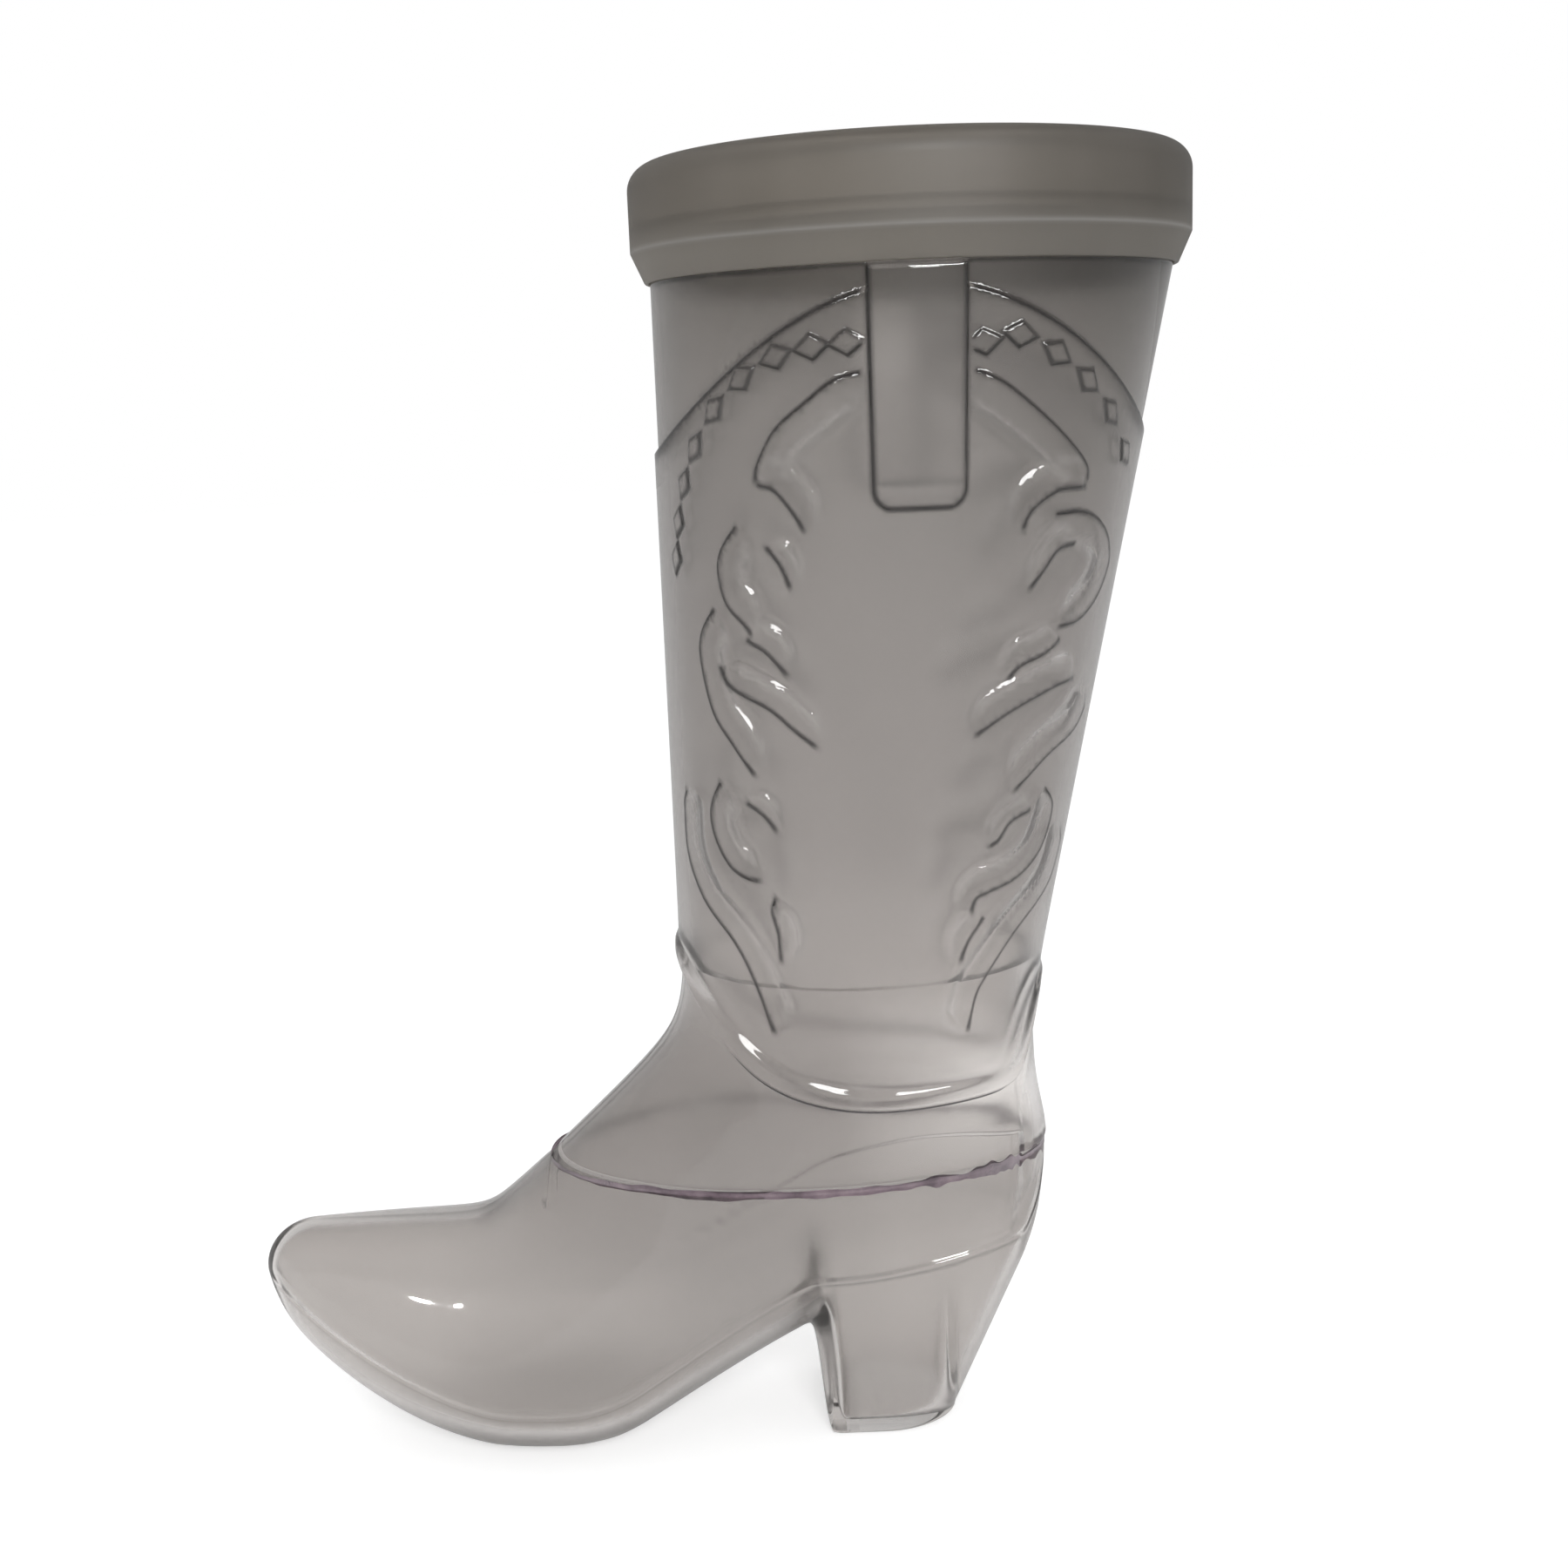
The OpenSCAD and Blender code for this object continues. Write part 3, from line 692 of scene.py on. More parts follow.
def legRelief(t, z):
    # height over the leg's skin, painted shade along the step lines, painted highlight along the soft edges,
    # distance to a step
    s = acrossLeg(t, z)
    hem = hemZ(t)
    side = np.clip(np.abs(s) / leg["sideS"], 0, 1) ** 2
    nearest = np.full(len(t), np.inf)
    line = np.zeros(len(t))
    light = np.zeros(len(t))

    # scalloped panel between its arch and the hem, with a ribbon along the hem
    toArch = (panelTopZ(t) - z) * leg["archSquare"]
    panel = stepUp(toArch)
    nearest = np.minimum(nearest, np.abs(toArch))
    line = np.maximum(line, shadeLine(toArch, 1.15, side))
    overHem = (z - hem) * hemTilt(t)
    nearest = np.minimum(nearest, np.abs(overHem - leg["hemRibW"]) + 0.2)
    edge = np.clip(overHem / leg["hemEdgeR"], 0, 1)
    panel *= np.sqrt(1 - (1 - edge) ** 2)
    flank = rise(leg["hemRibW"] - leg["hemRibRun"], leg["hemRibW"] + leg["hemRibRun"], overHem)
    hemRib = leg["hemRibRise"] * (1 - flank)

    # scroll ribbons
    ribbon = np.zeros(len(t))
    for wide, points in scrollLines:
        reach = leg["ribbonW"] + 2
        inBox = (s > points[:, 0].min() - reach) & (s < points[:, 0].max() + reach)
        inBox &= (z > points[:, 1].min() - reach) & (z < points[:, 1].max() + reach)
        pick = np.nonzero(inBox)[0]
        if len(pick) == 0:
            continue
        d, along, total = nearLine(s[pick], z[pick], points)
        d = d if points[:, 0].mean() < 0 else -d
        ends = smooth(along / 2.6) * smooth((total - along) / 4.5)
        w = wide * leg["ribbonW"] * (0.4 + 0.6 * ends)
        up = stepUp(d) * (1 - rise(w - leg["softRun"] / 2, w + leg["softRun"] / 2, d))
        ribbon[pick] = np.maximum(ribbon[pick], leg["ribbonRise"] * (0.25 + 0.75 * wide) * ends * up)
        rib = leg["ribRise"] * ends * bell(d - w, leg["ribW"])
        ribbon[pick] += np.where(ribbon[pick] < 0.6 * leg["ribbonRise"], rib, 0)
        # painted highlight along the soft edge
        light[pick] = np.maximum(light[pick], ends * bell(d - w, leg["lightW"]))
        shadeEnds = smooth(along / 0.8) * smooth((total - along) / 1.6)
        # painted shade along the crisp edge
        line[pick] = np.maximum(line[pick], shadeEnds * shadeLine(d, 1.0, side[pick]))
        toEdge = np.minimum(np.abs(d), np.abs(d - w) + 0.3)
        nearest[pick] = np.where(ends > 0, np.minimum(nearest[pick], toEdge), nearest[pick])

    # chain of diamonds, each along the chain's run
    for cs, cz in diamonds:
        sameSide = [d for d in diamonds if d[0] * cs > 0]
        k = sameSide.index((cs, cz))
        before = sameSide[max(k - 1, 0)]
        after = sameSide[min(k + 1, len(sameSide) - 1)]
        run = math.atan2(after[1] - before[1], after[0] - before[0])
        pick = np.nonzero((np.abs(s - cs) < 5) & (np.abs(z - cz) < 5))[0]
        if len(pick) == 0:
            continue
        x = (s[pick] - cs) * math.cos(run) + (z[pick] - cz) * math.sin(run)
        y = -(s[pick] - cs) * math.sin(run) + (z[pick] - cz) * math.cos(run)
        long = leg["diamondLong"]
        wideD = leg["diamondWide"]
        d = (np.abs(x) / long + np.abs(y) / wideD - 1) * long * wideD / math.hypot(long, wideD)
        ribbon[pick] = np.maximum(ribbon[pick], leg["diamondRise"] * (1 - rise(*leg["diamondEdge"], d)))
        # painted shade along the diamond's edge
        edgeShade = leg["diamondShade"] * shadeLine(-d, leg["diamondLine"], 0.5 * side[pick])
        line[pick] = np.maximum(line[pick], edgeShade)
        nearest[pick] = np.minimum(nearest[pick], np.abs(d))

    # pull strap with rounded lower corners and a fold line
    half = blend(leg["strapHalfLow"], leg["strapHalfTop"], np.clip((z - leg["strapLowZ"]) / 30, 0, 1))
    r = leg["strapCornerR"]
    qx = np.abs(s) - half + r
    qy = leg["strapLowZ"] + r - z
    toStrap = np.hypot(np.maximum(qx, 0), np.maximum(qy, 0)) + np.minimum(np.maximum(qx, qy), 0) - r
    strap = 1 - stepUp(toStrap)
    onStrap = toStrap < -0.5
    fold = bell(z - leg["strapLowZ"] - leg["strapFold"], leg["foldW"]) * onStrap
    clear = rise(0.3, 1.2, toStrap)  # ribbons stop short of the strap
    # painted shade round the strap and in its fold
    line = np.maximum(line * clear, shadeLine(-toStrap, 1.15))
    line = np.maximum(line, leg["foldShade"] * fold)
    nearest = np.where(toStrap < 0, np.inf, nearest)
    nearest = np.minimum(nearest, np.abs(toStrap))
    underGroove = z - boot["grooveZ"] + leg["grooveUnder"]
    nearest = np.minimum(nearest, np.abs(underGroove) + 0.2)

    relief = panel * (leg["panelRise"] + hemRib + ribbon * clear)
    relief = blend(relief, leg["strapRise"] - leg["foldDepth"] * fold, strap)
    below = 1 - rise(boot["grooveZ"] - 0.45, boot["grooveZ"] - 0.05, z)  # plain skin inside the band
    # painted shadow under the groove and painted shade line over the hem
    groove = leg["grooveShadowTone"] * bell(underGroove, leg["grooveW"], 4)
    hemShadeLine = np.where(t > math.pi, *leg["hemLineShade"]) * bell(overHem - 0.1, 0.3, 4)
    line = np.maximum(line * below, np.maximum(groove, hemShadeLine))
    return relief * below, line, leg["light"] * light * clear * below, nearest


def makeLegShell():
    # a closed ring of rows: radius 2 is the outside and radius 1 the inside, refined near every step
    f = np.concatenate([leg["hemRows"], np.linspace(leg["firstRow"], 1, leg["rows"])])
    g = np.linspace(1, 0, 2 * leg["innerRows"] + 1)
    t = turns(leg["columns"])
    rows = np.concatenate([f, g])
    up = np.repeat(rows[:, None], len(t), axis=1)
    radius = np.concatenate([np.full(len(f), 2.0), np.full(len(g), 1.0)])[:, None]
    points = np.stack([radius * np.cos(t), radius * np.sin(t), up], axis=-1).reshape(-1, 3)
    mesh = newMesh("legShell", points, ringFaces(len(rows), len(t)), 1.0)
    work = bmesh.new()
    work.from_mesh(mesh)
    joined = work.faces.layers.float.new("joined")
    for face in work.faces:
        top = max(v.co.z for v in face.verts)
        onInside = max(math.hypot(v.co.x, v.co.y) for v in face.verts) < 1.01
        face[joined] = 1.0 if top < 1e-6 or (onInside and top < 0.501) else 0.0

    def places():
        p = np.array([v.co for v in work.verts])
        angle = np.arctan2(p[:, 1], p[:, 0]) % (2 * math.pi)
        depth = np.clip(2 - np.hypot(p[:, 0], p[:, 1]), 0, 1)
        hem = hemZ(angle)
        z = blend(hem, boot["legTopZ"], p[:, 2])
        end = spigotZ(angle)
        onSpigot = blend(hem, end, np.minimum(2 * p[:, 2], 1))
        overSpigot = np.maximum(2 * p[:, 2] - 1, 0) * (boot["legTopZ"] - end)
        return angle, np.where(depth > 0.5, onSpigot + overSpigot, z), depth

    for reach in leg["refine"]:
        angle, z, depth = places()
        nearest = legRelief(angle, z)[3]
        wanted = (nearest < reach) & (depth < 0.05)
        work.verts.index_update()
        edges = [e for e in work.edges if wanted[e.verts[0].index] and wanted[e.verts[1].index]]
        bmesh.ops.subdivide_edges(work, edges=edges, cuts=1, use_grid_fill=True)
    angle, z, depth = places()
    relief, line, light = legRelief(angle, z)[:3]
    outer = depth < 0.05
    inset = np.where(outer, -relief, depth * boot["legWall"])
    final = skin(angle, z, inset) * mm
    work.verts.ensure_lookup_table()
    for v, p in zip(work.verts, final):
        v.co = p
    work.to_mesh(mesh)
    work.free()
    values = {
        # painted shade lines and painted highlights, on the outside only
        "step": np.where(outer, line, 0),
        "clearness": np.where(outer, light, 0),
        "inside": (depth > 0.5) * 1.0,
    }
    return addPiece(mesh, values, clearMaterial, ["leg_shell"], 75)


legShell = makeLegShell()

# Foot's upper: instep and counter, spigot inside the leg, tongue inside the base
upper = {
    "spigotFit": 0.2,
    "spigotWall": 1.2,
    "tongueH": 2.0,
    "tongueFit": 0.3,
    "tongueWall": 1.2,
    "tongueTop": 0.25,  # where the tongue leaves the wall, over the seam
    "shoulderRun": 7.0,
    "satin": 1.0,  # share of the leg's satin on the inside
    "stayHalf": 10.0,  # half width of the back stay
    "stayRise": 0.35,
    # painted shade along the stay's edges
    "stayShade": 0.25,
    "stayX": (5, 9),
    "counterRise": 0.3,
    # painted shade along the counter's edge
    "counterShade": 0.30,
    "counterFade": 14.0,
    "counterY": (6, 10),
    # upper edge of the counter, as (length, height)
    "counterEdge": [(19, 49.6), (10, 52), (2.4, 52.7), (-5.5, 51.7), (-11.2, 50), (-19.3, 45.3),
                    (-25.9, 41.3), (-32.5, 38.1), (-37.5, 36.5)],
    "lineW": 0.3,
    "endRag": 0.14,  # the spigot's end is uneven
    "endJoined": 0.85,
    "partingW": 0.42,  # mould line along the middle
    "partingRise": 0.12,
    # painted shade along the mould line
    "partingShade": 0.55,
    "seamShade": 0.42,  # painted shade over the seam, where the wall is thicker
    "columns": 360,
    "rows": 70,
}
counterEdge = softLine(upper["counterEdge"])


def counterRelief(x, y, z):
    # counter under its curved edge, and the back stay: height, and painted shade along their lines
    d, along, total = nearLine(x, z, counterEdge)
    fade = smooth((total - along) / upper["counterFade"]) * rise(*upper["counterY"], np.abs(y))
    counter = upper["counterRise"] * (1 - rise(-0.3, 0.3, d)) * fade
    line = upper["counterShade"] * bell(d, upper["lineW"]) * fade * rise(0.1, 1.5, along)
    stay = upper["stayHalf"] - np.abs(y)
    back = rise(*upper["stayX"], x)
    strip = upper["stayRise"] * rise(-0.25, 0.25, stay) * back
    line = np.maximum(line, upper["stayShade"] * bell(stay, upper["lineW"]) * back)
    return np.maximum(counter, strip), line


def makeFootUpper():
    t = turns(upper["columns"])
    low = boot["seamZ"] + boot["bond"] / 2
    bond = boot["bond"]
    hem = hemZ(t)
    spigotOut = boot["legWall"] + upper["spigotFit"]
    spigotIn = spigotOut + upper["spigotWall"]
    tongueOut = boot["footWall"] + upper["tongueFit"]
    tongueIn = tongueOut + upper["tongueWall"]
    top = spigotZ(t) + 0.02 + upper["endRag"] * ripple(t, 11)
    rings = []
    inside = []
    clear = []
    lines = []

    def addRing(points, isInside, isClear, line=None):
        rings.append(points)
        inside.append(np.full(len(t), isInside))
        clear.append(np.full(len(t), isClear))
        lines.append(np.zeros(len(t)) if line is None else line)

    for f in np.linspace(0, 1, upper["rows"]):
        z = blend(low, hem - bond, f)
        p = skin(t, z, 0.0)
        relief, line = counterRelief(p[:, 0], p[:, 1], z)
        relief *= rise(0, 0.05, f) * (1 - rise(0.6, 1.0, f))
        parting = bell(p[:, 1], upper["partingW"]) * (np.cos(t) < 0)
        relief = np.maximum(relief, upper["partingRise"] * parting)
        # painted shade along the mould line and just over the seam
        line = np.maximum(line, upper["partingShade"] * parting)
        line = np.maximum(line, upper["seamShade"] * (1 - rise(0.5, 1.3, z - low)))
        addRing(skin(t, z, -relief), 0.0, 0.0, line * (1 - rise(0.9, 1.0, f)))
    for f in (0.0, 0.25, 0.5, 0.75, 0.97, 1.0):
        addRing(skin(t, blend(hem - bond, top, f), spigotOut), 0.0, 0.5)
    for f in (1.0, 0.97, 0.75, 0.5, 0.25, 0.0):
        addRing(skin(t, blend(hem - bond, top, f), spigotIn), upper["satin"], 0.0)
    for f in (1.0, 0.85, 0.7, 0.55, 0.4, 0.25, 0.1, 0.0):
        z = blend(low + upper["tongueTop"], hem - bond - upper["shoulderRun"], f)
        addRing(skin(t, z, boot["footWall"]), upper["satin"], 0.0)
    seamIn = skin(t, np.full(len(t), low), tongueIn)
    seamOut = skin(t, np.full(len(t), low), tongueOut)
    end = boot["seamZ"] - upper["tongueH"]
    addRing(seamIn, upper["satin"], 0.5)
    addRing(np.column_stack([seamIn[:, :2], np.full(len(t), end)]), upper["satin"], 0.9)
    addRing(np.column_stack([seamOut[:, :2], np.full(len(t), end)]), upper["satin"], 0.9)
    addRing(seamOut, upper["satin"], 0.9)
    layers = {"inside": inside, "clearness": clear, "step": lines}
    values = {name: np.concatenate(numbers) for name, numbers in layers.items()}
    count = len(rings)
    mesh = newMesh("footUpper", np.concatenate(rings), ringFaces(count, len(t)))
    piece = addPiece(mesh, values, clearMaterial, ["foot_upper"], 50)
    end = upper["rows"] + 5  # strip over the spigot's end
    joined = dict.fromkeys([*range(upper["rows"] - 1, end), *range(count - 5, count)], 1.0)
    setJoined(piece, {**joined, end: upper["endJoined"]}, len(t))
    return piece


footUpper = makeFootUpper()

# Foot's base: toe, sole and hollow heel, open at the seam
base = {
    "toeX": -100.5,
    "toeZ": 27.0,
    "toeSpring": 21.0,
    "toeTopZ": 35.0,
    "toeNose": 8.0,
    "toePoint": 1.8,  # outline of the toe from above
    "toeRound": 0.75,
    "treadFrontX": -59.0,
    "treadBackX": -45.0,
    "ballHalfW": 22.0,
    "waistX": -18.0,
    "waistHalfW": 16.5,
    "archRise": 0.56,
    "archR": 6.0,
    "soleH": 11.0,
    "springPower": 1.9,
    "lateTurn": 20,  # the sole turns up late at the nose and the heel's back
    "flatShare": 0.2,
    "crownR": 1.5,
    "breastX": -12.0,
    "breastRun": 1.2,
    "breastR": 0.5,
    "breastReach": 4.0,
    "heelBackX": 9.4,
    "heelRoundX": -2.0,
    "heelHalfW": 11.5,
    "heelEdgeR": 1.2,
    "seatZ": 29.0,
    "seatMidX": 2.0,
    "seatSlope": 0.1,
    "seatShare": 0.9,  # width of the seat to the seam's
    "floorWall": 2.2,
    "weltRise": 0.3,  # how far the welt's bead stands out
    "weltH": 0.55,
    "weltPower": 1.3,
    "weltEase": 0.15,
    "weltShare": 0.35,  # height of the seat's line between sole and seam
    "weltShade": (0.22, 0.6),  # painted shade under the welt, along the foot and round the heel
    "weltShadeX": (-15, -9),
    "weltLineZ": 0.75,
    "weltLineW": 0.3,
    "noseFade": (4, 14),  # the mould line fades towards the toe's nose
    "easeRun": 2.4,
    "easeReach": 6.0,
    "toeStations": 64,
    "upperSteps": 40,
    "lowerSteps": 40,
    "upperGather": 1.5,  # steps gather beside the welt
    "lowerGather": 1.35,
}
seamMid = float(midX(boot["seamZ"]))
seamHalfL = float(halfL(boot["seamZ"]))
seamHalfW = float(halfW(boot["seamZ"]))
ballX = (base["treadFrontX"] + base["treadBackX"]) / 2
heelRise = base["seatZ"] + base["weltShare"] * (boot["seamZ"] - base["seatZ"])
roundHandle = 0.5523  # handle of a curve that draws a quarter circle


def seamY(x, inset):
    u = (x - seamMid) / (seamHalfL - inset)
    return (seamHalfW - inset) * math.sqrt(max(0.0, 1 - u * u))


def heelPart(x, inset):
    run = base["breastRun"]
    return float(smooth((x - base["breastX"] - inset + run) / (2 * run)))


def archZ(x):
    return float(base["archRise"] * fillet(x - base["treadBackX"], base["archR"]))


def toePart(x, inset):
    return max(0.0, (base["treadFrontX"] - x) / (base["treadFrontX"] - base["toeX"] - inset))


def softPower(u, power, ease):
    # power curve that starts level, without a crease
    return ((u * u + ease**2) ** (power / 2) - ease**power) / ((1 + ease**2) ** (power / 2) - ease**power)


def soleZ(x, inset, floor):
    if x < base["treadFrontX"]:
        u = toePart(x, inset)
        spring = base["toeSpring"] * u ** base["springPower"]
        nose = (base["toeZ"] - base["toeSpring"]) * u ** base["lateTurn"]
        return floor * (1 - float(smooth(u))) + spring + nose
    u = max(0.0, (x - base["heelBackX"] + inset) / (seamMid + seamHalfL - base["heelBackX"]))
    heel = blend(u * heelRise, boot["seamZ"], min(u, 1.0) ** base["lateTurn"])
    return max(floor + archZ(x) * (1 - heelPart(x, inset)), heel)


def crownZ(x, inset):
    instep = boot["instepZ"] - (boot["frontX"] - x + inset) / boot["instepRun"]
    top = base["toeTopZ"] - inset + float(bend(instep - base["toeTopZ"] + inset, base["crownR"]))
    u = (base["toeX"] + base["toeNose"] - x) / (base["toeNose"] - inset)
    if u > 0:
        return blend(base["toeZ"], top, math.sqrt(max(0.0, 1 - u * u)))
    return top


def weltY(x, inset):
    waistX = base["waistX"]
    if x < ballX:
        u = (ballX - x) / (ballX - base["toeX"] - inset)
        return (base["ballHalfW"] - inset) * max(0.0, 1 - u ** base["toePoint"]) ** base["toeRound"]
    if x < waistX:
        u = float(smooth((x - ballX) / (waistX - ballX)))
        return blend(base["ballHalfW"], base["waistHalfW"], u) - inset
    u = float(smooth((x - waistX) / (base["seatMidX"] - waistX)))
    return blend(base["waistHalfW"] - inset, base["seatShare"] * seamY(x, inset), u)


def weltZ(x, inset, floor):
    side = min(archZ(x) + base["soleH"], base["seatZ"] + base["seatSlope"] * (x - base["breastX"]))
    if x < base["treadFrontX"]:
        return blend(side, base["toeZ"], softPower(toePart(x, inset), base["weltPower"], base["weltEase"]))
    if x < base["heelRoundX"]:
        return side
    low = soleZ(x, inset, floor)
    return max(side, low + base["weltShare"] * (boot["seamZ"] - low))


def flatY(x, inset):
    u = max(0.0, (x - base["heelRoundX"]) / (base["heelBackX"] - inset - base["heelRoundX"]))
    heel = (base["heelHalfW"] - base["heelEdgeR"] - inset) * math.sqrt(max(0.0, 1 - u * u))
    return blend(base["flatShare"] * weltY(x, inset), max(base["heelEdgeR"] / 4, heel), heelPart(x, inset))


def skinY(x, z, inset):
    u = (x - float(midX(z))) / (float(halfL(z)) - inset)
    return (float(halfW(z)) - inset) * math.sqrt(max(0.0, 1 - u * u))


def footSection(x, inset, floor):
    # half section at length x, from its top edge to the middle of its bottom
    isOpen = x > seamMid - seamHalfL + inset
    edge = boot["seamZ"] - boot["bond"] / 2
    topY = seamY(x, inset) if isOpen else 0.0
    topZ = edge if isOpen else min(crownZ(x, inset), edge)
    w = weltY(x, inset)
    low = soleZ(x, inset, floor)
    mid = min(max(weltZ(x, inset, floor), low), topZ)
    flat = flatY(x, inset)
    fromRound = (x - base["heelRoundX"]) / (base["heelBackX"] - base["heelRoundX"])
    straight = heelPart(x, inset) * (1 - float(smooth(fromRound)))
    drop = topZ - mid
    start = np.array([1.0, 0.0])
    if isOpen:
        hop = 0.4
        out = max(0.0, (skinY(x, boot["seamZ"] - hop, inset) - skinY(x, boot["seamZ"], inset)) / hop)
        start = np.array([out, 1.0]) / math.hypot(out, 1.0)
    spread = max(abs(w - topY), 0.3 * drop)
    reach = roundHandle * min(spread / max(start[0], 0.01), drop / max(start[1], 0.01))
    p0 = np.array([topY, topZ])
    p1 = p0 + reach * start * np.array([1, -1])
    p2 = np.array([w, mid + roundHandle * drop])
    p3 = np.array([w, mid])
    u = 1 - np.linspace(1, 0, base["upperSteps"] + 1)[:, None] ** base["upperGather"]
    upperPart = (1 - u) ** 3 * p0 + 3 * (1 - u) ** 2 * u * p1 + 3 * (1 - u) * u**2 * p2 + u**3 * p3
    t = np.linspace(0, 1, base["lowerSteps"] + 1)[1:] ** base["lowerGather"]
    quarter = math.pi / 2
    roundY = blend(flat, w, np.cos(quarter * t))
    roundZ = blend(mid, low, np.sin(quarter * t))
    split = 5 / 7
    s = np.minimum(1, t / split)
    turn = np.maximum(0, t - split) / (1 - split)
    r = base["heelEdgeR"]
    wallY = blend(w, flat + r, s) - r * (1 - np.cos(quarter * turn))
    wallZ = blend(mid, low + r, s) - r * np.sin(quarter * turn)
    lowerPart = np.column_stack([blend(roundY, wallY, straight), blend(roundZ, wallZ, straight)])
    floorY, floorZ = lowerPart[-1]
    middle = np.linspace(1, 0, 7)[1:, None] * np.array([floorY, 0]) + np.array([0, floorZ])
    return np.concatenate([upperPart, lowerPart, middle]), mid


def footStations(inset):
    tip = base["toeX"] + inset
    front = seamMid - seamHalfL + inset
    half = seamHalfL - inset
    n = base["toeStations"]
    toe = [tip + (front - tip) * (1 - math.cos(math.pi / 2 * i / n)) for i in range(n + 1)]
    atBreast = [base["breastX"] + inset + base["breastRun"] * s for s in np.linspace(-1.4, 1.4, 19)]
    spread = [seamMid + half * math.cos(math.radians(a)) for a in np.arange(178.5, 1.0, -1.5)]
    before = [x for x in spread if x < atBreast[0] - 0.3]
    after = [x for x in spread if x > atBreast[-1] + 0.3]
    atBack = list(np.arange(base["heelBackX"] - inset - 3.0, base["heelBackX"] - inset + 2.0, 0.2))
    after = [x for x in after if x < atBack[0] - 0.1 or x > atBack[-1] + 0.1] + atBack
    return toe + before + atBreast + sorted(after) + [seamMid + half]


def easeSections(xs, halves, inset):
    # evens out the sections where the closed toe meets the open seam, and rounds the heel's breast
    x = np.array(xs)
    stack = np.array(halves)
    spacing = np.gradient(x)
    byRow = rise(0, 8, np.arange(stack.shape[1], dtype=float))  # the seam's edge stays
    eased = [
        (seamMid - seamHalfL, base["easeRun"], base["easeReach"]),
        (base["breastX"], base["breastR"], base["breastReach"]),
    ]
    for middle, run, reach in eased:
        spread = np.exp(-0.5 * ((x[:, None] - x[None, :]) / run) ** 2) * spacing
        spread /= spread.sum(axis=1, keepdims=True)
        soft = np.einsum("ik,kjc->ijc", spread, stack)
        near = 1 - rise(reach, reach + 4, np.abs(x - middle - inset))
        stack = stack + (soft - stack) * near[:, None, None] * byRow[None, :, None]
    return stack


def dressSection(x, half, mid):
    # welt, counter and mould line on the outside of a half section, and the painted shade along their lines
    y = half[:, 0]
    z = half[:, 1]
    overWelt = rise(0.0, 2.0, z - mid)
    grow = rise(0.5, 3.0, weltY(x, 0.0)) * rise(0.3, 1.2, boot["seamZ"] - z)
    bead = bell(z - mid, base["weltH"]) * grow
    relief, counter = counterRelief(np.full(len(y), x), y, z)
    relief *= overWelt * rise(1.0, 3.0, y)
    out = base["weltRise"] * bead + relief * (y > 2)
    # painted shade under the welt's bead
    seat = blend(*base["weltShade"], float(rise(*base["weltShadeX"], x)))
    under = bell(z - mid + base["weltLineZ"], base["weltLineW"]) * grow
    tone = np.maximum(seat * under, counter * overWelt)
    parting = np.zeros(len(y))
    if x < seamMid - seamHalfL:
        parting = bell(y, upper["partingW"]) * overWelt * rise(*base["noseFade"], x - base["toeX"])
    tone = np.maximum(tone, upper["partingShade"] * parting)
    return half + np.column_stack([out, upper["partingRise"] * parting]), tone


def makeFootBase():
    outX = footStations(0.0)
    inX = footStations(boot["footWall"])
    points = []
    line = []
    inside = []
    walls = [(outX, 0.0, 0.0, 0.0), (inX, boot["footWall"], base["floorWall"], upper["satin"])]
    for xs, inset, floor, satin in walls:
        halves, mids = zip(*[footSection(x, inset, floor) for x in xs])
        for x, half, mid in zip(xs, easeSections(xs, halves, inset), mids):
            tone = np.zeros(len(half))
            if not inset:
                half, tone = dressSection(x, half, mid)
            left = np.column_stack([np.full(len(half), x), -half[:, 0], half[:, 1]])
            right = left[::-1] * np.array([1, -1, 1])
            points.append(np.concatenate([left, right[1:]]))
            line.append(np.concatenate([tone, tone[::-1][1:]]))
            inside.append(np.full(len(points[-1]), satin))
    n = len(points[0])
    stations = len(outX)
    faces = []
    for layer in (0, stations):
        for i in range(layer, layer + stations - 1):
            for j in range(n - 1):
                a = i * n + j
                b = a + n
                faces.append((a, b, b + 1, a + 1) if layer == 0 else (a + 1, b + 1, b, a))
    for i in range(base["toeStations"], stations - 1):
        for j in (0, n - 1):
            a = i * n + j
            b = a + stations * n
            faces.append((a, b, b + n, a + n) if j == 0 else (a + n, b + n, b, a))
    values = {"step": np.concatenate(line), "inside": np.concatenate(inside)}
    mesh = newMesh("footBase", np.concatenate(points), faces)
    piece = addPiece(mesh, values, clearMaterial, ["foot_base"], 60)
    edge = (boot["seamZ"] - boot["bond"] / 2) * mm
    onEdge = [abs(f.center.z - edge) < 1e-6 and abs(f.normal.z) > 0.9 for f in piece.data.polygons]
    setValues(piece, "joined", np.array(onEdge) * 1.0, "FACE")
    return piece


footBase = makeFootBase()

# Cement beads: a neat one under the hem, a ragged one squeezed out of the foot's seam
beads = {
    "columns": 480,
    "hemProud": 0.12,
    "hemShade": (1.0, 0.3),  # painted shade under the hem, on the near side and the far one
    "proud": 0.1,
    "ragLow": 0.1,
    "ragHigh": 1.4,
    "ragPower": 1.3,
    "ragFront": 0.35,  # less of it towards the toe
    "ragX": (-30, 5),
    "edge": 0.04,
}


def makeAnkleBond():
    t = turns(beads["columns"])
    hem = hemZ(t)
    bond = boot["bond"]
    wall = boot["legWall"]
    rings = [(bond, 0.0), (bond / 2, -beads["hemProud"]), (0, 0.0), (0, wall), (bond, wall)]
    points = np.concatenate([skin(t, hem - under, inset) for under, inset in rings])
    mesh = newMesh("ankleBond", points, ringFaces(len(rings), len(t)))
    # painted shade in the corner under the hem
    shade = np.tile(np.where(t > math.pi, *beads["hemShade"]), len(rings))
    piece = addPiece(mesh, {"shade": shade}, cementSkin, ["ankle_bond"], 50)
    setJoined(piece, dict.fromkeys([2, 3, 4], 1.0), len(t))


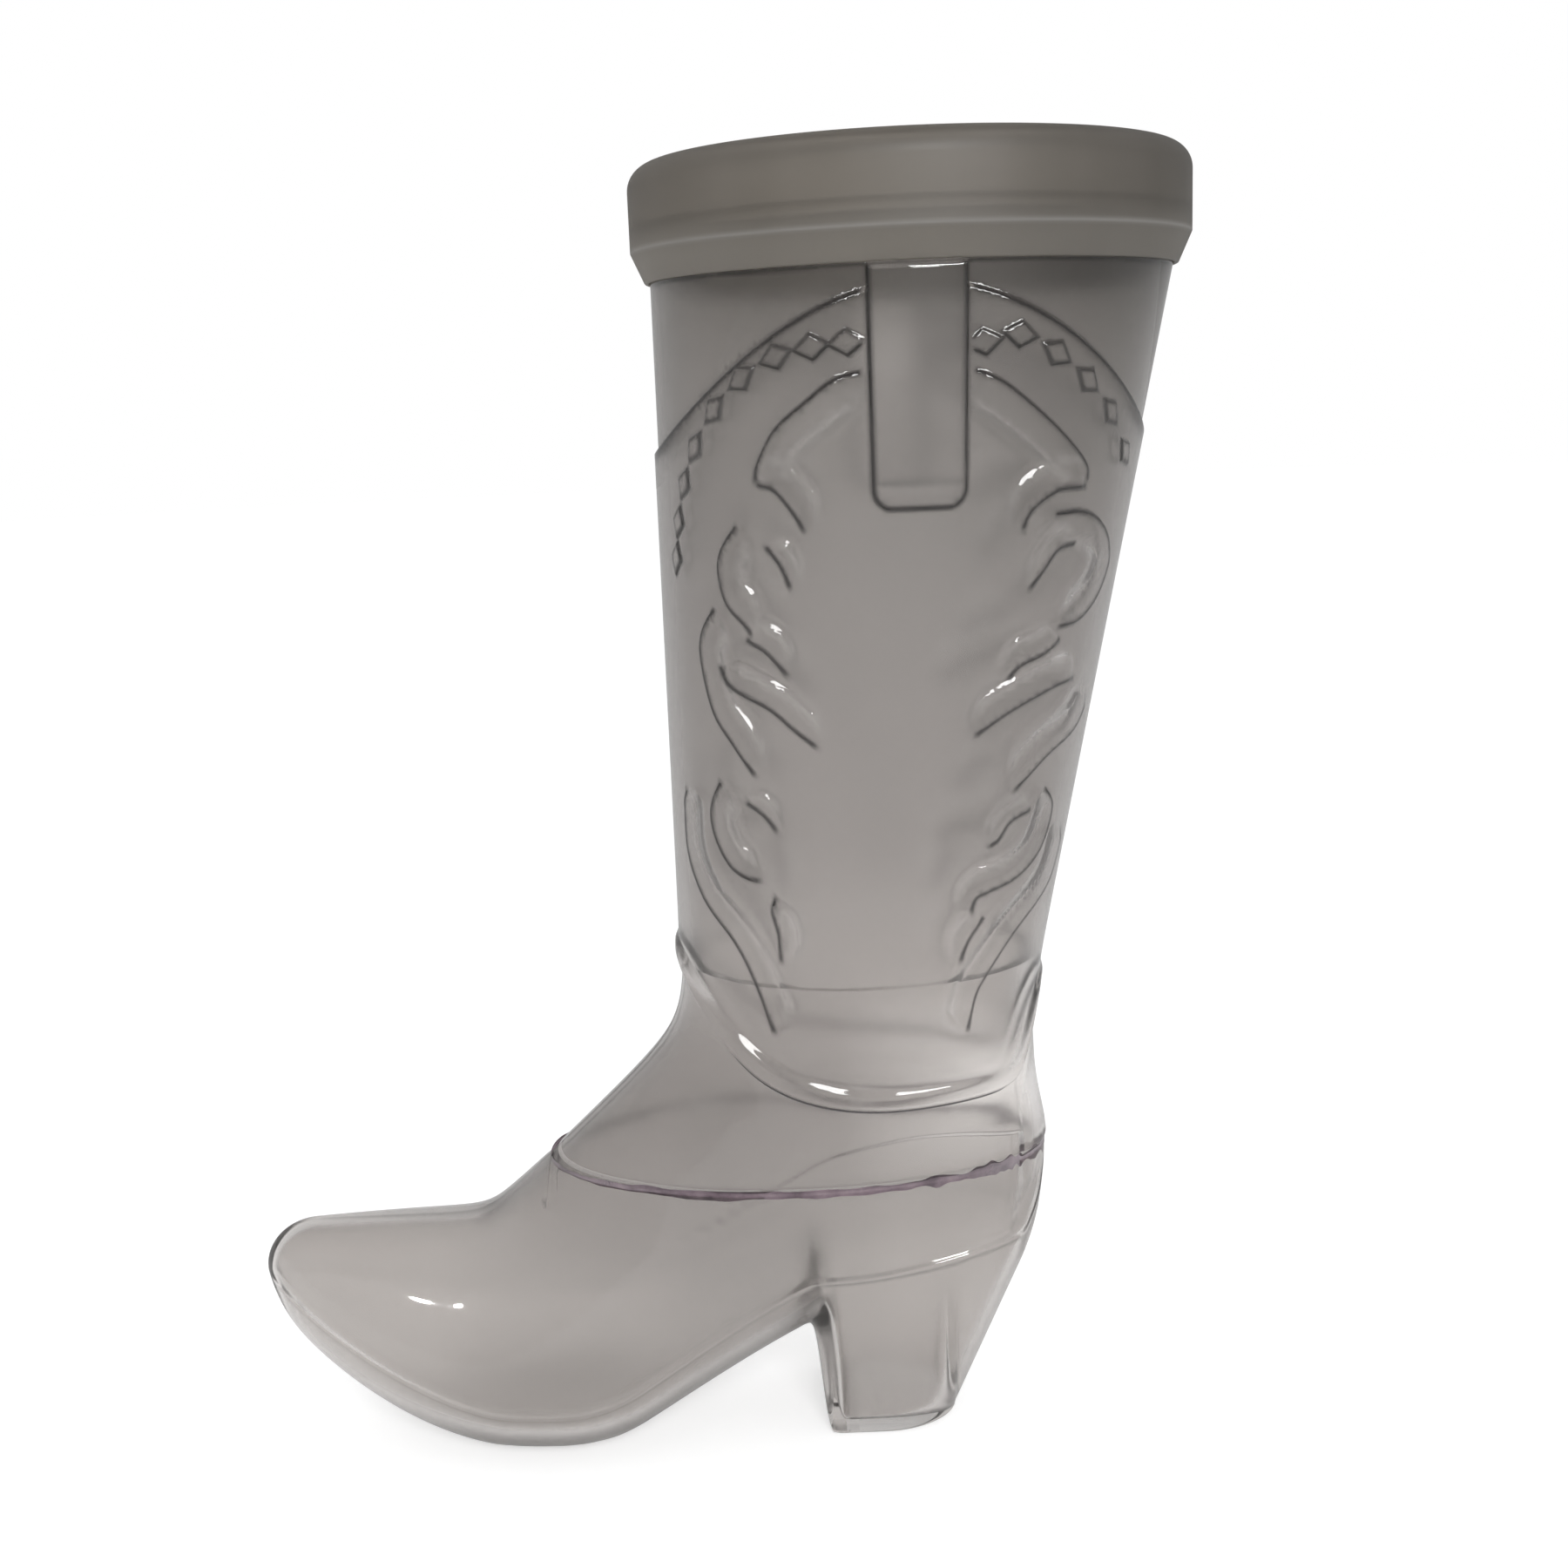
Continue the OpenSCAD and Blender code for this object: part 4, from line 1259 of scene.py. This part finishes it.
def makeFootBond():
    t = turns(beads["columns"])
    z = np.full(len(t), boot["seamZ"])
    half = boot["bond"] / 2
    wall = boot["footWall"]
    swing = beads["ragHigh"] - beads["ragLow"]
    toBack = blend(beads["ragFront"], 1.0, rise(*beads["ragX"], skin(t, z, 0)[:, 0]))
    rag = beads["ragLow"] + swing * (0.5 + 0.5 * ripple(t, 5, 16)) ** beads["ragPower"] * toBack
    sag = 0.5 * rag * ripple(t, 8, 9)
    proud = beads["proud"] * (0.4 + 0.6 * rag / beads["ragHigh"])
    section = [
        (wall, -half),
        (0.0, -half),
        (-beads["edge"], -half - rag + sag),
        (-0.6 * proud, -half - 0.8 * rag + sag),
        (-proud, sag),
        (-0.6 * proud, half + 0.8 * rag + sag),
        (-beads["edge"], half + rag + sag),
        (0.0, half),
        (wall, half),
    ]
    rings = []
    for inset, up in section:
        p = skin(t, z, inset)
        p[:, 2] = boot["seamZ"] + up
        rings.append(p)
    mesh = newMesh("footBond", np.concatenate(rings), ringFaces(len(rings), len(t)))
    piece = addPiece(mesh, {}, cementSkin, ["foot_bond"], 60)
    setJoined(piece, dict.fromkeys([0, 7, 8], 1.0), len(t))


makeAnkleBond()
makeFootBond()

# The ring of cement in the band's slot keeps its shape from the construction
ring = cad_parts["rim_bond"]
ring.data.materials.clear()
ring.data.materials.append(cementSkin)

# Studio: white floor and backdrop, small lamps for the glints, the photograph's camera
studio = {
    "white": (1.0, 1.0, 1.0),
    "ceiling": 0.6,
    "ceilingUp": (0.35, 0.85),
    "ambient": 0.8,
    "mirror": 0.4,  # the room as the gloss shows it
    "floorR": 3.0,
    "floorColour": (0.6, 0.6, 0.6),
    "floorLift": 0.56,
    "aim": (-0.02, 0.0, 0.09),
    "lamps": [
        # place, size, watts, what it lights
        ((0.10, -0.80, 0.56), (0.30, 0.14), 4.5, "all"),
        ((-0.50, -0.62, 0.62), (0.04, 0.04), 1.0, "foot"),
        ((0.51, -0.68, 0.13), (0.20, 0.10), 3.1, "foot"),
        ((0.05, -0.85, 0.30), (0.16, 0.24), 2.2, "leg"),
        ((0.50, -0.69, 0.31), (0.36, 0.24), 4.9, "leg"),
        ((-0.50, -0.69, 0.32), (0.17, 0.17), 1.6, "leg"),
    ],
}


def makeFloor():
    mesh = bpy.data.meshes.new("floor")
    floor = bpy.data.objects.new("floor", mesh)
    work = bmesh.new()
    bmesh.ops.create_circle(work, cap_ends=True, radius=studio["floorR"], segments=96)
    work.to_mesh(mesh)
    work.free()
    scene.collection.objects.link(floor)
    material, wire = newMaterial("floor_paper")
    seen = wire.node("ShaderNodeLightPath", None, None, 0)
    through = wire.node("ShaderNodeLightPath", None, None, 6)
    shown = wire.maths("MAXIMUM", seen, through)
    lift = (*[studio["floorLift"]] * 3, 1.0)
    paper = wire.node("ShaderNodeBsdfDiffuse", None, {"Color": (*studio["floorColour"], 1.0)})
    glow = wire.node("ShaderNodeEmission", None, {"Color": wire.mix(shown, (0, 0, 0, 1), lift)})
    both = wire.node("ShaderNodeAddShader", None, {0: paper, 1: glow})
    wire.node("ShaderNodeOutputMaterial", None, {"Surface": both})
    mesh.materials.append(material)


def makeWorld():
    world = bpy.data.worlds.new("studio")
    scene.world = world
    world.use_nodes = True
    world.node_tree.nodes.clear()
    wire = Wire(world.node_tree)
    seen = wire.node("ShaderNodeLightPath", None, None, 0)
    mirrored = wire.node("ShaderNodeLightPath", None, None, 3)
    through = wire.node("ShaderNodeLightPath", None, None, 6)
    place = wire.node("ShaderNodeTexCoord", None, None, 0)
    up = wire.node("ShaderNodeSeparateXYZ", None, {0: place}, 2)
    start, end = studio["ceilingUp"]
    ceiling = wire.node(
        "ShaderNodeMapRange",
        {"interpolation_type": "SMOOTHSTEP"},
        {"Value": up, "From Min": start, "From Max": end, "To Min": 1.0, "To Max": studio["ceiling"]},
    )
    room = mirrored * ceiling * studio["mirror"] + (1 - mirrored) * studio["ambient"]
    strength = seen + (1 - seen) * (through * ceiling + (1 - through) * room)
    sky = wire.node("ShaderNodeBackground", None, {"Color": (*studio["white"], 1.0), "Strength": strength})
    wire.node("ShaderNodeOutputWorld", None, {"Surface": sky})


def makeLamps():
    aim = Vector(studio["aim"])
    lit = {"leg": [legShell], "foot": [footUpper, footBase]}
    for i, (place, size, watts, lights) in enumerate(studio["lamps"]):
        lamp = bpy.data.lights.new(f"lamp{i}", "AREA")
        lamp.shape = "RECTANGLE"
        lamp.size = size[0]
        lamp.size_y = size[1]
        lamp.energy = watts
        holder = bpy.data.objects.new(f"lamp{i}", lamp)
        holder.location = place
        holder.rotation_euler = (aim - Vector(place)).to_track_quat("-Z", "Y").to_euler()
        holder.visible_transmission = False  # lamps show as glints, not through the walls
        holder.visible_diffuse = lights == "all"
        if lights in lit:
            glints = bpy.data.collections.new(f"glints{i}")
            for piece in lit[lights]:
                glints.objects.link(piece)
            holder.light_linking.receiver_collection = glints
        scene.collection.objects.link(holder)


photoCamera = {
    "place": (-14.4, -287.54, 163.05),  # millimetres
    "down": 11.735,  # degrees
    "roll": 2.2,
    "lens": 44.0,
}


def makeCamera():
    camera = bpy.data.cameras.new("photoCamera")
    camera.lens = photoCamera["lens"]
    camera.sensor_width = 36.0
    camera.clip_start = 0.01
    holder = bpy.data.objects.new("photoCamera", camera)
    holder.location = Vector(photoCamera["place"]) * mm
    pitch = Euler((math.radians(90 - photoCamera["down"]), 0, 0)).to_matrix()
    roll = Euler((0, 0, math.radians(-photoCamera["roll"]))).to_matrix()
    holder.rotation_euler = (pitch @ roll).to_euler()
    scene.collection.objects.link(holder)
    scene.camera = holder


makeFloor()
makeWorld()
makeLamps()
makeCamera()
print("studio and camera set")
